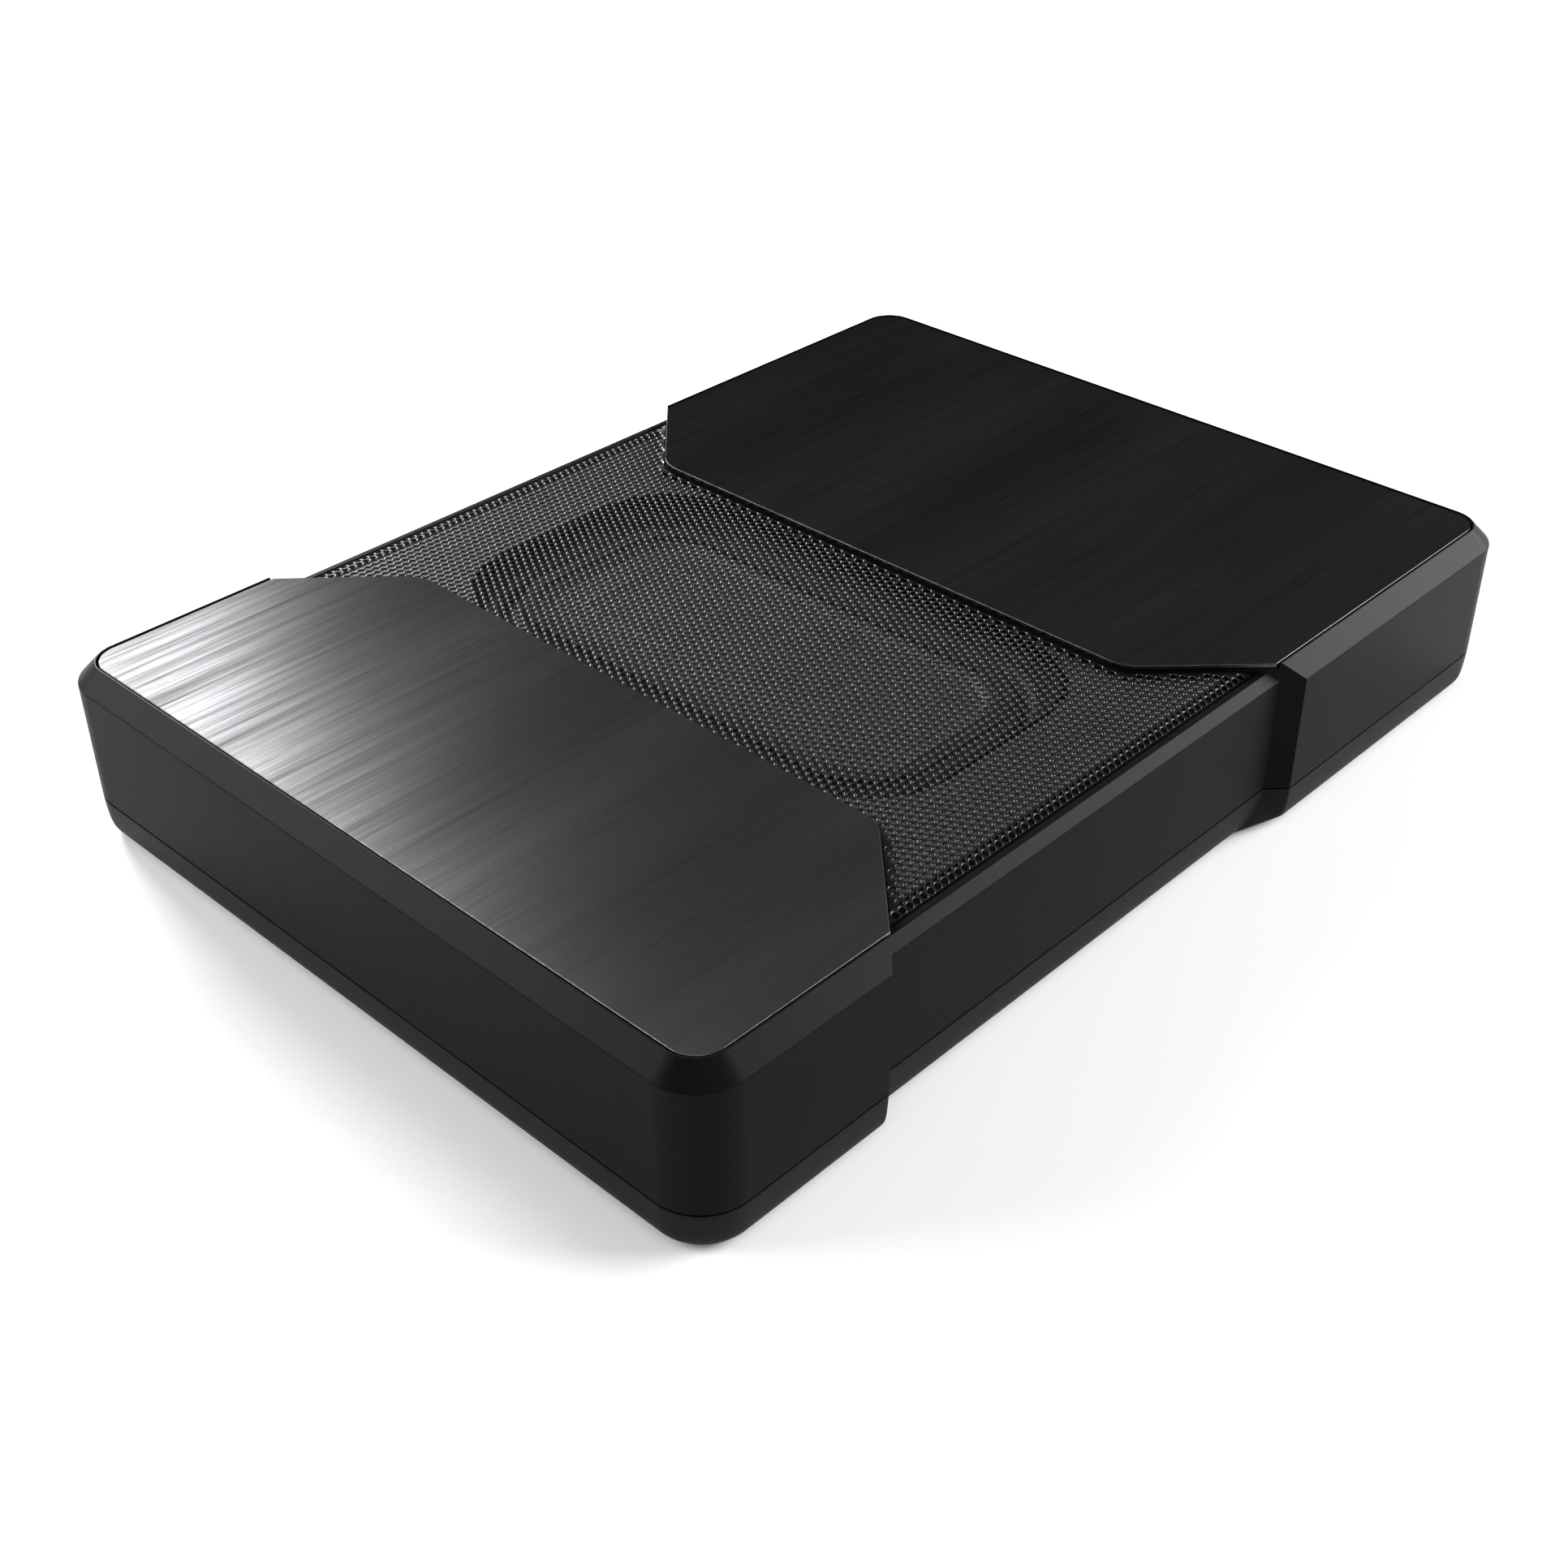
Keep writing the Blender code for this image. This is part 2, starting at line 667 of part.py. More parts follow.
def grille_mesh():
    """The formed mesh panel: flat on top, with its front and back edges bent down."""
    high, low = MESH_TOP, MESH_TOP - MESH_EDGE_DROP
    top = [(-MESH_EDGE_HALF_Y, low), (-MESH_FLAT_HALF_Y, high), (MESH_FLAT_HALF_Y, high),
           (MESH_EDGE_HALF_Y, low)]
    under = [(y, z - MESH_THICKNESS) for y, z in reversed(top)]
    upright = Matrix(((0, 0, 1, 0), (1, 0, 0, 0), (0, 1, 0, 0), (0, 0, 0, 1)))
    panel = prism("grille_mesh", [list(reversed(top + under))], -HALF_X, HALF_X, black_mesh(),
                  turn=upright)
    sides = inset_corners(mesh_bay_corners(MESH_EDGE_HALF_Y + 5 * MM), 0.4 * MM)
    trim = prism("grille_trim", rounded(sides), 40 * MM, 60 * MM, cutter=True)
    return boolean(panel, trim, "INTERSECT")


def grille_frame():
    """Thin ring under the mesh that holds it off the deck."""
    low, high = MESH_DECK + GAP, MESH_TOP - MESH_THICKNESS - GAP
    outside = rounded(inset_corners(mesh_bay_corners(MESH_FLAT_HALF_Y), 1.2 * MM))
    half_x = OPENING_SIZE[0] / 2 + 0.6 * MM
    half_y = OPENING_SIZE[1] / 2 + 2.5 * MM
    inside = rounded(rectangle(half_x, half_y, OPENING_RADIUS, (DRIVER_X, 0)))
    prism("grille_frame", [outside, inside], low, high, casing_plastic())


# ---------------------------------------------------------------- driver

def driver_basket():
    """Pressed frame: flange, straight upper wall, and a bowl drawn in to the magnet."""
    width, height = OPENING_SIZE
    levels = [(21.4, 38, 38, 37), (23, 40, 42, 38), (30, 44, 66, 36), (36.5, 47.2, 84.2, 28),
              (43.8, 47.2, 84.2, 27)]
    skin = 1.6 * MM

    def rings(shrink, floor):
        made = []
        for z, half_x, half_y, radius in levels:
            corners = rectangle(half_x * MM - shrink, half_y * MM - shrink,
                                min(radius, half_x, half_y) * MM * 0.99 - shrink, (DRIVER_X, 0))
            made.append((rounded(corners), z * MM + floor))
        return made

    basket = stacked("driver_basket", rings(0, 0), stamped_steel())
    flange_out = rounded(rectangle(57 * MM, 95 * MM, 22 * MM, (DRIVER_X, 0)))
    weld_on(basket, prism("flange", flange_out, FLANGE_TOP - FLANGE_THICKNESS, FLANGE_TOP,
                          cutter=True))
    carve(basket, stacked("basket_hollow", rings(skin, skin) + [
        (rounded(rectangle(width / 2 - 0.6 * MM, height / 2 - 1 * MM, 25 * MM, (DRIVER_X, 0))),
         60 * MM)], cutter=True))
    carve(basket, rod("basket_throat", 24 * MM, 0, 30 * MM, (DRIVER_X, 0, 0), steps=24, cutter=True))
    shelf = [(32.4 * MM, 28.6 * MM), (35 * MM, 28.6 * MM), (35 * MM, 22 * MM),
             (32.4 * MM, 22 * MM)]
    weld_on(basket, turned("spider_shelf", shelf, (DRIVER_X, 0, 0), steps=24, cutter=True))
    end_windows = [(0, side * 66, 11, 22) for side in (-1, 1)]
    side_windows = [(sx * 42, sy * 26, 14, 10) for sx in (-1, 1) for sy in (-1, 1)]
    for number, (x, y, half_x, half_y) in enumerate(end_windows + side_windows):
        middle = Vector((DRIVER_X + x * MM, y * MM, 0))
        half = Vector((half_x, half_y, 0)) * MM
        low, high = middle - half, middle + half
        carve(basket, block(f"basket_window_{number}", (low.x, low.y, 26 * MM),
                            (high.x, high.y, 36 * MM), cutter=True))
    for number, (x, y) in enumerate(pin_places(DRIVER_SCREW_SPOTS), 1):
        carve(basket, rod(f"flange_hole_{number}", SCREW_HOLE_RADIUS, 40 * MM, 50 * MM,
                          (DRIVER_X + x, y, 0), steps=12, cutter=True))
    return basket


def driver_gasket():
    low, high = FLANGE_TOP + GAP + SURROUND_SKIN + GAP, DECK_UNDERSIDE - GAP
    inner, outer = 0.2 * MM, 3.2 * MM
    profile = [(inner, low), (outer, low), (outer, high), (inner, high)]
    band("driver_gasket", OPENING_SIZE, OPENING_RADIUS, profile, rubber())


def surround():
    """Rubber half roll, dipping below its two lips, around the flat diaphragm."""
    roll = 4.4 * MM
    skin = SURROUND_SKIN
    middle = 6 * MM
    level = FLANGE_TOP + GAP
    steps = 6
    upper, lower = [], []
    for step in range(steps + 1):
        angle = math.pi * (1 + step / steps)
        out, down = math.cos(angle), math.sin(angle)
        upper.append((middle + (roll - skin) * out, level + skin + (roll - skin) * down))
        lower.append((middle + roll * out, level + roll * down))
    lip_in = (-2 * MM, level)
    lip_out = (15.6 * MM, level)
    profile = [(lip_in[0], level + skin)] + upper + [(lip_out[0], level + skin), lip_out]
    profile += list(reversed(lower)) + [lip_in]
    band("surround", DIAPHRAGM_SIZE, DIAPHRAGM_RADIUS, profile, rubber())


def diaphragm():
    corners = rectangle(DIAPHRAGM_SIZE[0] / 2, DIAPHRAGM_SIZE[1] / 2, DIAPHRAGM_RADIUS)
    plate = prism("diaphragm", rounded(corners), -DIAPHRAGM_THICKNESS, 0, cone_fibre(),
                  top_bevel=0.6 * MM)
    plate.location = (DRIVER_X, 0, DIAPHRAGM_TOP)
    return plate


def motor():
    """Magnet system under the basket: yoke with pole, ring magnet and front plate."""
    centre = (DRIVER_X, 0, 0)
    pole, base_top, base_low = 17.2 * MM, 9.5 * MM, 6.5 * MM
    plate_low, plate_top = 18.1 * MM, 21.1 * MM
    turned("pole_yoke", [(0, plate_top), (pole - 1 * MM, plate_top), (pole, plate_top - 1 * MM),
                         (pole, base_top), (MAGNET_RADIUS - 2 * MM, base_top),
                         (MAGNET_RADIUS - 2 * MM, base_low + 1 * MM),
                         (MAGNET_RADIUS - 3 * MM, base_low), (0, base_low)],
           centre, steps=24, skin=zinc_steel())
    inner = 23 * MM
    turned("ring_magnet", [(inner, plate_low - GAP), (MAGNET_RADIUS - 1 * MM, plate_low - GAP),
                           (MAGNET_RADIUS, plate_low - 1.3 * MM), (MAGNET_RADIUS, base_top + 1.3 * MM),
                           (MAGNET_RADIUS - 1 * MM, base_top + GAP), (inner, base_top + GAP)],
           centre, steps=24, skin=ferrite())
    bore = 20.4 * MM
    turned("front_pole_plate", [(bore, plate_top), (MAGNET_RADIUS - 3 * MM, plate_top),
                                (MAGNET_RADIUS - 2 * MM, plate_top - 1 * MM),
                                (MAGNET_RADIUS - 2 * MM, plate_low), (bore, plate_low)],
           centre, steps=24, skin=zinc_steel())


def voice_coil():
    """Former tube under the diaphragm, with the winding in the magnet gap."""
    top = DIAPHRAGM_TOP - DIAPHRAGM_THICKNESS - GAP
    low = 15 * MM
    inner = FORMER_RADIUS - 0.5 * MM
    origin = (DRIVER_X, 0, top)
    turned("voice_coil_former", [(inner, 0), (FORMER_RADIUS, 0), (FORMER_RADIUS, low - top),
                                 (inner, low - top)], origin, steps=24, skin=bare_aluminium())
    coil_in, coil_out = FORMER_RADIUS + GAP, FORMER_RADIUS + 1.2 * MM
    coil_top, coil_low = 24 * MM - top, 15.2 * MM - top
    turned("voice_coil", [(coil_in, coil_top), (coil_out, coil_top), (coil_out, coil_low),
                          (coil_in, coil_low)], origin, steps=24, skin=copper_wire())


def spider():
    """Corrugated cloth disc that centres the coil former."""
    inner, outer = FORMER_RADIUS + GAP, 32 * MM
    middle, wave, skin = 27.5 * MM, 1.1 * MM, 0.6 * MM
    steps = 12
    top = []
    for step in range(steps + 1):
        share = step / steps
        height = middle + wave * math.sin(share * 2 * math.tau)
        top.append((inner + (outer - inner) * share, height))
    under = [(radius, height - skin) for radius, height in reversed(top)]
    turned("spider", top + under, (DRIVER_X, 0, 0), steps=20, skin=spider_cloth())


def driver_terminal():
    low = (TERMINAL_X, -12 * MM, TERMINAL_Z - 4 * MM)
    high = (TERMINAL_X + TERMINAL_THICKNESS, 12 * MM, TERMINAL_Z + 4 * MM)
    return block("driver_terminal", low, high, component_plastic(), edge=0.4 * MM)


def cap_screw(name, place, length):
    """Screw with its head at the given place and its shank pointing up."""
    head = 1.4 * MM
    sink = 0.3 * MM
    profile = [(0, length), (SCREW_RADIUS - sink, length), (SCREW_RADIUS, length - sink),
               (SCREW_RADIUS, head), (SCREW_HEAD_RADIUS, head), (SCREW_HEAD_RADIUS, sink),
               (SCREW_HEAD_RADIUS - sink, 0), (0, 0)]
    return turned(name, profile, place, steps=12, skin=zinc_steel())


def screws():
    for number, (x, y) in enumerate(pin_places(HOUSING_SCREW_SPOTS), 1):
        cap_screw(f"housing_screw_{number}", (x, y, 1.9 * MM), 17 * MM)
    for number, (x, y) in enumerate(pin_places(DRIVER_SCREW_SPOTS), 1):
        low = FLANGE_TOP - FLANGE_THICKNESS - GAP - 1.4 * MM
        cap_screw(f"driver_screw_{number}", (DRIVER_X + x, y, low), 6.6 * MM)


# ---------------------------------------------------------------- amplifier

def amplifier_board():
    corners = rectangle((BOARD_X[1] - BOARD_X[0]) / 2, BOARD_HALF_Y, 2 * MM,
                        (sum(BOARD_X) / 2, 0))
    board = prism("amplifier_board", rounded(corners), BOARD_BOTTOM, BOARD_TOP, circuit_board())
    for number, (x, y) in enumerate(pin_places(BOARD_PEG_SPOTS), 1):
        carve(board, rod(f"board_hole_{number}", SCREW_HOLE_RADIUS, 5 * MM, 20 * MM, (x, y, 0),
                         steps=12, cutter=True))
    return board


def heat_sink():
    """Extruded comb: a spine along Y with upright fins."""
    fins, pitch, thick = 7, 5 * MM, 1.6 * MM
    start, low, web, high = 84 * MM, BOARD_TOP + GAP, 4 * MM, 36 * MM
    width = (fins - 1) * pitch + thick
    outline = [(start, low), (start + width, low)]
    for fin in reversed(range(fins)):
        left = start + fin * pitch
        outline.append((left + thick, high))
        outline.append((left, high))
        if fin:
            outline.append((left, low + web))
            outline.append((left - pitch + thick, low + web))
    upright = Matrix(((1, 0, 0, 0), (0, 0, -1, 0), (0, 1, 0, 0), (0, 0, 0, 1)))
    prism("heat_sink", [outline], -10 * MM, 88 * MM, bare_aluminium(), turn=upright)


def transistors():
    """Output devices standing along the heat sink, and the bar that clamps them."""
    for number in range(4):
        y = (-76 + 24 * number) * MM
        low = BOARD_TOP + GAP
        block(f"output_transistor_{number + 1}", (78.8 * MM, y - 8 * MM, low),
              (83.7 * MM, y + 8 * MM, low + 20 * MM), component_plastic(), edge=0.5 * MM)
    block("clamp_bar", (75.5 * MM, -86 * MM, 17 * MM), (78.5 * MM, 6 * MM, 27 * MM),
          zinc_steel(), edge=0.4 * MM)


def power_choke():
    """Wound ring core lying on the board."""
    bpy.ops.mesh.primitive_torus_add(major_radius=13 * MM, minor_radius=6 * MM, major_segments=24,
                                     minor_segments=10,
                                     location=(104 * MM, 46 * MM, BOARD_TOP + GAP + 6 * MM))
    ring = bpy.context.active_object
    ring.name = "power_choke"
    ring.data.name = "power_choke"
    return finish(ring, copper_wire())


def capacitors():
    for number in range(3):
        place = (131 * MM, (24 + 19 * number) * MM, BOARD_TOP + GAP)
        radius, high = 8 * MM, 30 * MM
        profile = [(0, high), (radius - 0.6 * MM, high), (radius, high - 0.6 * MM),
                   (radius, 4 * MM), (radius - 0.7 * MM, 3.2 * MM), (radius, 2.4 * MM),
                   (radius, 0), (0, 0)]
        turned(f"reservoir_capacitor_{number + 1}", profile, place, steps=18,
               skin=component_plastic())


def speaker_leads():
    """Two insulated leads from the board to the driver's terminal strip."""
    radius = 1.1 * MM
    leads = (("speaker_lead_positive", 5 * MM, wire_sleeve_red()),
             ("speaker_lead_negative", -5 * MM, wire_sleeve_black()))
    for name, y, sleeve in leads:
        start = Vector((TERMINAL_X + TERMINAL_THICKNESS + GAP, y, TERMINAL_Z))
        end = Vector((70 * MM, y, BOARD_TOP + GAP))
        leave, land = Vector((22 * MM, 0, 0)), Vector((0, 0, 20 * MM))
        curve = bpy.data.curves.new(name, "CURVE")
        curve.dimensions = "3D"
        curve.bevel_depth = radius
        curve.bevel_resolution = 1
        curve.use_fill_caps = True
        spline = curve.splines.new("POLY")
        count = 16
        spline.points.add(count)
        for step in range(count + 1):
            t = step / count
            point = (start * (1 - t) ** 3 + (start + leave) * 3 * t * (1 - t) ** 2
                     + (end + land) * 3 * t * t * (1 - t) + end * t ** 3)
            spline.points[step].co = (*point, 1)
        from_bmesh(name, mesh_of_curve(name, curve), sleeve)


# ---------------------------------------------------------------- connector panel

def panel_hole(name, y, z, half_y, half_z):
    return block(name, (PANEL_FACE_X - 10 * MM, y - half_y, z - half_z),
                 (PANEL_FACE_X + 1 * MM, y + half_y, z + half_z), cutter=True)


def round_panel_hole(name, y, z, radius):
    return rod(name, radius, -10 * MM, 1 * MM, (PANEL_FACE_X, y, z), axis="X", steps=16,
               cutter=True)


SOCKETS = {
    "power_socket": (POWER_SOCKET_Y, 26 * MM, 14 * MM, 4, 2),
    "speaker_input_socket": (SPEAKER_SOCKET_Y, 22 * MM, 12 * MM, 3, 2),
    "remote_socket": (REMOTE_SOCKET_Y, 13 * MM, 12 * MM, 4, 1),
}
SOCKET_WALL = 1.6 * MM
SOCKET_DEPTH = 11 * MM
SOCKET_FRONT = PANEL_FACE_X + 2 * MM
FUSE_HOLDER_SIZE = (8 * MM, 15 * MM)
SWITCH_SLOT = (2.9 * MM, 1.9 * MM)


def socket_panel():
    inner = PANEL_FACE_X - PANEL_THICKNESS
    low, high = BAY_LOW - BAY_WALL, BAY_HIGH + BAY_WALL
    panel = block("socket_panel", (inner, -BAY_HALF_Y - BAY_WALL, low),
                  (PANEL_FACE_X, BAY_HALF_Y + BAY_WALL, high), casing_plastic())
    for name, (y, wide, tall, _, _) in SOCKETS.items():
        carve(panel, panel_hole(name + "_hole", y, BAY_Z, wide / 2 + GAP, tall / 2 + GAP))
    carve(panel, panel_hole("fuse_hole", FUSE_Y, BAY_Z, FUSE_HOLDER_SIZE[0] / 2 + GAP,
                            FUSE_HOLDER_SIZE[1] / 2 + GAP))
    carve(panel, panel_hole("switch_hole", PHASE_SWITCH_Y, BAY_Z, *SWITCH_SLOT))
    for number, y in enumerate(RCA_Y):
        carve(panel, round_panel_hole(f"rca_hole_{number}", y, BAY_Z, 4.4 * MM))
    for name, y in (("gain_hole", GAIN_KNOB_Y), ("crossover_hole", CROSSOVER_KNOB_Y)):
        carve(panel, round_panel_hole(name, y, BAY_Z, 2.1 * MM))
    carve(panel, round_panel_hole("led_hole", LED_Y, LED_Z, 1.8 * MM))
    return panel


def pin_sockets():
    """Rectangular sockets: an open box through the panel with rows of pins inside."""
    for name, (y, wide, tall, columns, rows) in SOCKETS.items():
        back = SOCKET_FRONT - SOCKET_DEPTH - SOCKET_WALL
        shell = block(name, (back, y - wide / 2, BAY_Z - tall / 2),
                      (SOCKET_FRONT, y + wide / 2, BAY_Z + tall / 2), component_plastic())
        carve(shell, block(name + "_hollow",
                           (SOCKET_FRONT - SOCKET_DEPTH, y - wide / 2 + SOCKET_WALL,
                            BAY_Z - tall / 2 + SOCKET_WALL),
                           (SOCKET_FRONT + 1 * MM, y + wide / 2 - SOCKET_WALL,
                            BAY_Z + tall / 2 - SOCKET_WALL), cutter=True))
        pin, reach = 0.5 * MM, 5 * MM
        for column in range(columns):
            for row in range(rows):
                pin_y = y + (column - (columns - 1) / 2) * (wide - 6 * MM) / columns
                pin_z = BAY_Z + (row - (rows - 1) / 2) * 4.2 * MM
                weld_on(shell, block(f"{name}_pin_{column}_{row}",
                                     (back + 0.5 * MM, pin_y - pin, pin_z - pin),
                                     (SOCKET_FRONT - SOCKET_DEPTH + reach, pin_y + pin,
                                      pin_z + pin), cutter=True))


def rca_jacks():
    for side, y in zip(("left", "right"), RCA_Y):
        tip, flange, barrel, bore = 7.4 * MM, 6 * MM, 4.1 * MM, 1.7 * MM
        bore_end, back, flange_front = -3 * MM, -11 * MM, 1.5 * MM
        profile = [(0, bore_end), (bore, bore_end), (bore, tip), (barrel - 0.4 * MM, tip),
                   (barrel, tip - 0.4 * MM), (barrel, flange_front), (flange, flange_front),
                   (flange, GAP), (barrel, GAP), (barrel, back), (0, back)]
        turned(f"rca_jack_{side}", profile, (PANEL_FACE_X, y, BAY_Z), axis="X", steps=18,
               skin=gold_contact())


def fuse_and_holder():
    wide, tall = FUSE_HOLDER_SIZE
    back, front = PANEL_FACE_X - 14 * MM, PANEL_FACE_X + 1.5 * MM
    slot_y, slot_z = 4.2 * MM, 11.6 * MM
    holder = block("fuse_holder", (back, FUSE_Y - wide / 2, BAY_Z - tall / 2),
                   (front, FUSE_Y + wide / 2, BAY_Z + tall / 2), component_plastic())
    carve(holder, block("fuse_slot", (back + 1.5 * MM, FUSE_Y - slot_y / 2, BAY_Z - slot_z / 2),
                        (front + 1 * MM, FUSE_Y + slot_y / 2, BAY_Z + slot_z / 2), cutter=True))
    thick, half_high = 1.8 * MM, 5.4 * MM
    body_back = PANEL_FACE_X - 2.5 * MM
    fuse = block("blade_fuse", (body_back, -thick, -half_high),
                 (PANEL_FACE_X + 6.5 * MM, thick, half_high), fuse_plastic(), edge=0.4 * MM)
    for side in (-1, 1):
        middle = side * 3.7 * MM
        weld_on(fuse, block(f"fuse_blade_{side}",
                            (back + 3 * MM, -0.4 * MM + FUSE_Y, middle - 1.3 * MM + BAY_Z),
                            (body_back + 1 * MM, 0.4 * MM + FUSE_Y, middle + 1.3 * MM + BAY_Z),
                            cutter=True))
    fuse.location = (0, FUSE_Y, BAY_Z)
    return fuse


def phase_switch():
    lever_y = PHASE_SWITCH_Y - 1.5 * MM
    half_y, half_z = 1.0 * MM, 1.5 * MM
    back = PANEL_FACE_X - PANEL_THICKNESS - GAP
    body = block("phase_switch_body", (back - 6 * MM, PHASE_SWITCH_Y - 5 * MM, BAY_Z - 4 * MM),
                 (back, PHASE_SWITCH_Y + 5 * MM, BAY_Z + 4 * MM), component_plastic(),
                 edge=0.3 * MM)
    carve(body, block("lever_slot", (back - 3 * MM, PHASE_SWITCH_Y - SWITCH_SLOT[0],
                                     BAY_Z - SWITCH_SLOT[1]),
                      (back + 1 * MM, PHASE_SWITCH_Y + SWITCH_SLOT[0], BAY_Z + SWITCH_SLOT[1]),
                      cutter=True))
    lever = block("phase_switch_lever", (back - 2.6 * MM, -half_y, -half_z),
                  (PANEL_FACE_X + 2.6 * MM, half_y, half_z), component_plastic(), edge=0.2 * MM)
    lever.location = (0, lever_y, BAY_Z)
    return lever


def knob(name, y):
    """Fluted control knob with a pointer groove and its shaft, turning about X."""
    radius, front, back = 5.6 * MM, 7.2 * MM, 0.6 * MM
    shaft, shaft_end = 1.5 * MM, -8.5 * MM
    profile = [(0, front), (radius - 0.8 * MM, front), (radius, front - 0.8 * MM),
               (radius, back), (shaft, back), (shaft, shaft_end), (0, shaft_end)]
    cap = turned(name, profile, (PANEL_FACE_X, y, BAY_Z), axis="X", steps=24,
                 skin=component_plastic())
    carve(cap, block(name + "_pointer", (PANEL_FACE_X + front - 0.7 * MM, y - 0.5 * MM, BAY_Z),
                     (PANEL_FACE_X + front + 1 * MM, y + 0.5 * MM, BAY_Z + 8 * MM), cutter=True))
    return cap


def potentiometer(name, y):
    back = PANEL_FACE_X - PANEL_THICKNESS - GAP
    body = block(name, (back - 7 * MM, y - 5.5 * MM, BAY_Z - 6 * MM),
                 (back, y + 5.5 * MM, BAY_Z + 6 * MM), component_plastic(), edge=0.4 * MM)
    carve(body, rod(name + "_bore", 1.9 * MM, -6 * MM, 1 * MM, (back, y, BAY_Z), axis="X",
                    steps=16, cutter=True))
    return body


def power_led():
    radius = 1.5 * MM
    profile = [(0, 1.6 * MM), (radius * 0.7, 1.2 * MM), (radius, 0.5 * MM), (radius, -4 * MM),
               (0, -4 * MM)]
    turned("power_led", profile, (PANEL_FACE_X, LED_Y, LED_Z), axis="X", steps=14,
           skin=led_lens())


def controls():
    knob("gain_knob", GAIN_KNOB_Y)
    knob("crossover_knob", CROSSOVER_KNOB_Y)
    potentiometer("gain_potentiometer", GAIN_KNOB_Y)
    potentiometer("crossover_potentiometer", CROSSOVER_KNOB_Y)
    phase_switch()
    power_led()


def main():
    upper_casing()
    base_tray()
    rubber_feet()
    top_plates()
    grille_mesh()
    grille_frame()
    driver_basket()
    driver_gasket()
    surround()
    diaphragm()
    motor()
    voice_coil()
    spider()
    driver_terminal()
    screws()
    amplifier_board()
    heat_sink()
    transistors()
    power_choke()
    capacitors()
    speaker_leads()
    socket_panel()
    pin_sockets()
    rca_jacks()
    fuse_and_holder()
    controls()


main()
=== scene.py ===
import json
import math

import bmesh
import bpy
import numpy as np
from mathutils import Matrix, Vector


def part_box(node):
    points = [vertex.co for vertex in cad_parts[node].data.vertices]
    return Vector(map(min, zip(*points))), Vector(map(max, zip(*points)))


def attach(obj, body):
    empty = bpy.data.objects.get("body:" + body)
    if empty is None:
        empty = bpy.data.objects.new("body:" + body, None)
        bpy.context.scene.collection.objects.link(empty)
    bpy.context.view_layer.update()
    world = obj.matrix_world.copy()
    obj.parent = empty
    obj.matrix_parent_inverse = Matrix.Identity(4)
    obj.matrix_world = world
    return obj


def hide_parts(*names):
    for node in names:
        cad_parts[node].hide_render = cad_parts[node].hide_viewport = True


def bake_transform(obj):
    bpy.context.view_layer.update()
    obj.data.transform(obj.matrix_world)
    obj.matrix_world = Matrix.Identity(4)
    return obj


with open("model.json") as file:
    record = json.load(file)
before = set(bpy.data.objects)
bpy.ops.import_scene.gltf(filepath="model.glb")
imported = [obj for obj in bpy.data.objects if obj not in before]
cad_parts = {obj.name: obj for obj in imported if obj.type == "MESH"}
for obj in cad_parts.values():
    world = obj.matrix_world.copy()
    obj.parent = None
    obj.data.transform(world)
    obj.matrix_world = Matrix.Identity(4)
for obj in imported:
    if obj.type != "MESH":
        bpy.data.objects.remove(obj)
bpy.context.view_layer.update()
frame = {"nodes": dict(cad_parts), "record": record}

MM = 0.001

# The housing's main sizes, the same as the solids'
HALF_X = 170 * MM
HALF_Y = 124 * MM
HEIGHT = 54 * MM
CORNER_RADIUS = 14.5 * MM
CHAMFER = 5.3 * MM
WALL = 3 * MM
GAP = 0.3 * MM
NEAR_STEP_X = -109.3 * MM
FAR_STEP_X = 59.6 * MM
NEAR_EDGE_X = -73 * MM
FAR_EDGE_X = 24.3 * MM
TIP_RADIUS = 12 * MM
STEP_DEPTH = 5.2 * MM
MIDDLE_TOP = 50.8 * MM
MIDDLE_CHAMFER = 2.7 * MM
MESH_BAY_HALF_Y = 114.3 * MM
MESH_DECK = 49.7 * MM
DECK_UNDERSIDE = 47.5 * MM
BLOCK_UNDERSIDE = 50.2 * MM
PLATE_LOW = 52.6 * MM
PLATE_TOP = 53.8 * MM
PLATE_INSET = CHAMFER + 1.0 * MM
MESH_TOP = 51.7 * MM
MESH_THICKNESS = 0.5 * MM
MESH_FLAT_HALF_Y = 110.3 * MM
MESH_EDGE_HALF_Y = 113.5 * MM
MESH_EDGE_DROP = 0.9 * MM
TRAY_BOTTOM = 1.6 * MM
TRAY_FLOOR = 4.6 * MM
TRAY_TOP = 12.6 * MM
CASING_BOTTOM = 13.1 * MM
LIP_TOP = 17 * MM
FLARE = 12 * MM
DRIVER_X = (NEAR_EDGE_X + FAR_EDGE_X) / 2
OPENING = (92 * MM, 167 * MM)
OPENING_RADIUS = 26 * MM
FLANGE_TOP = 44.8 * MM
CONE = (66 * MM, 143 * MM)
CONE_RADIUS = 20 * MM
CONE_TOP = 44.8 * MM
PANEL_X = 160.2 * MM
BAY_HALF_Y = 85 * MM
BAY_LOW = 18.5 * MM
BAY_HIGH = 41.5 * MM
BAY_WALL = 3.6 * MM
BAY_Z = 30 * MM
ARC = 14


# ---------------------------------------------------------------- outlines

def side_line(corners, index, inset):
    first = Vector(corners[index][:2])
    along = (Vector(corners[(index + 1) % len(corners)][:2]) - first).normalized()
    return first + Vector((-along.y, along.x)) * inset, along


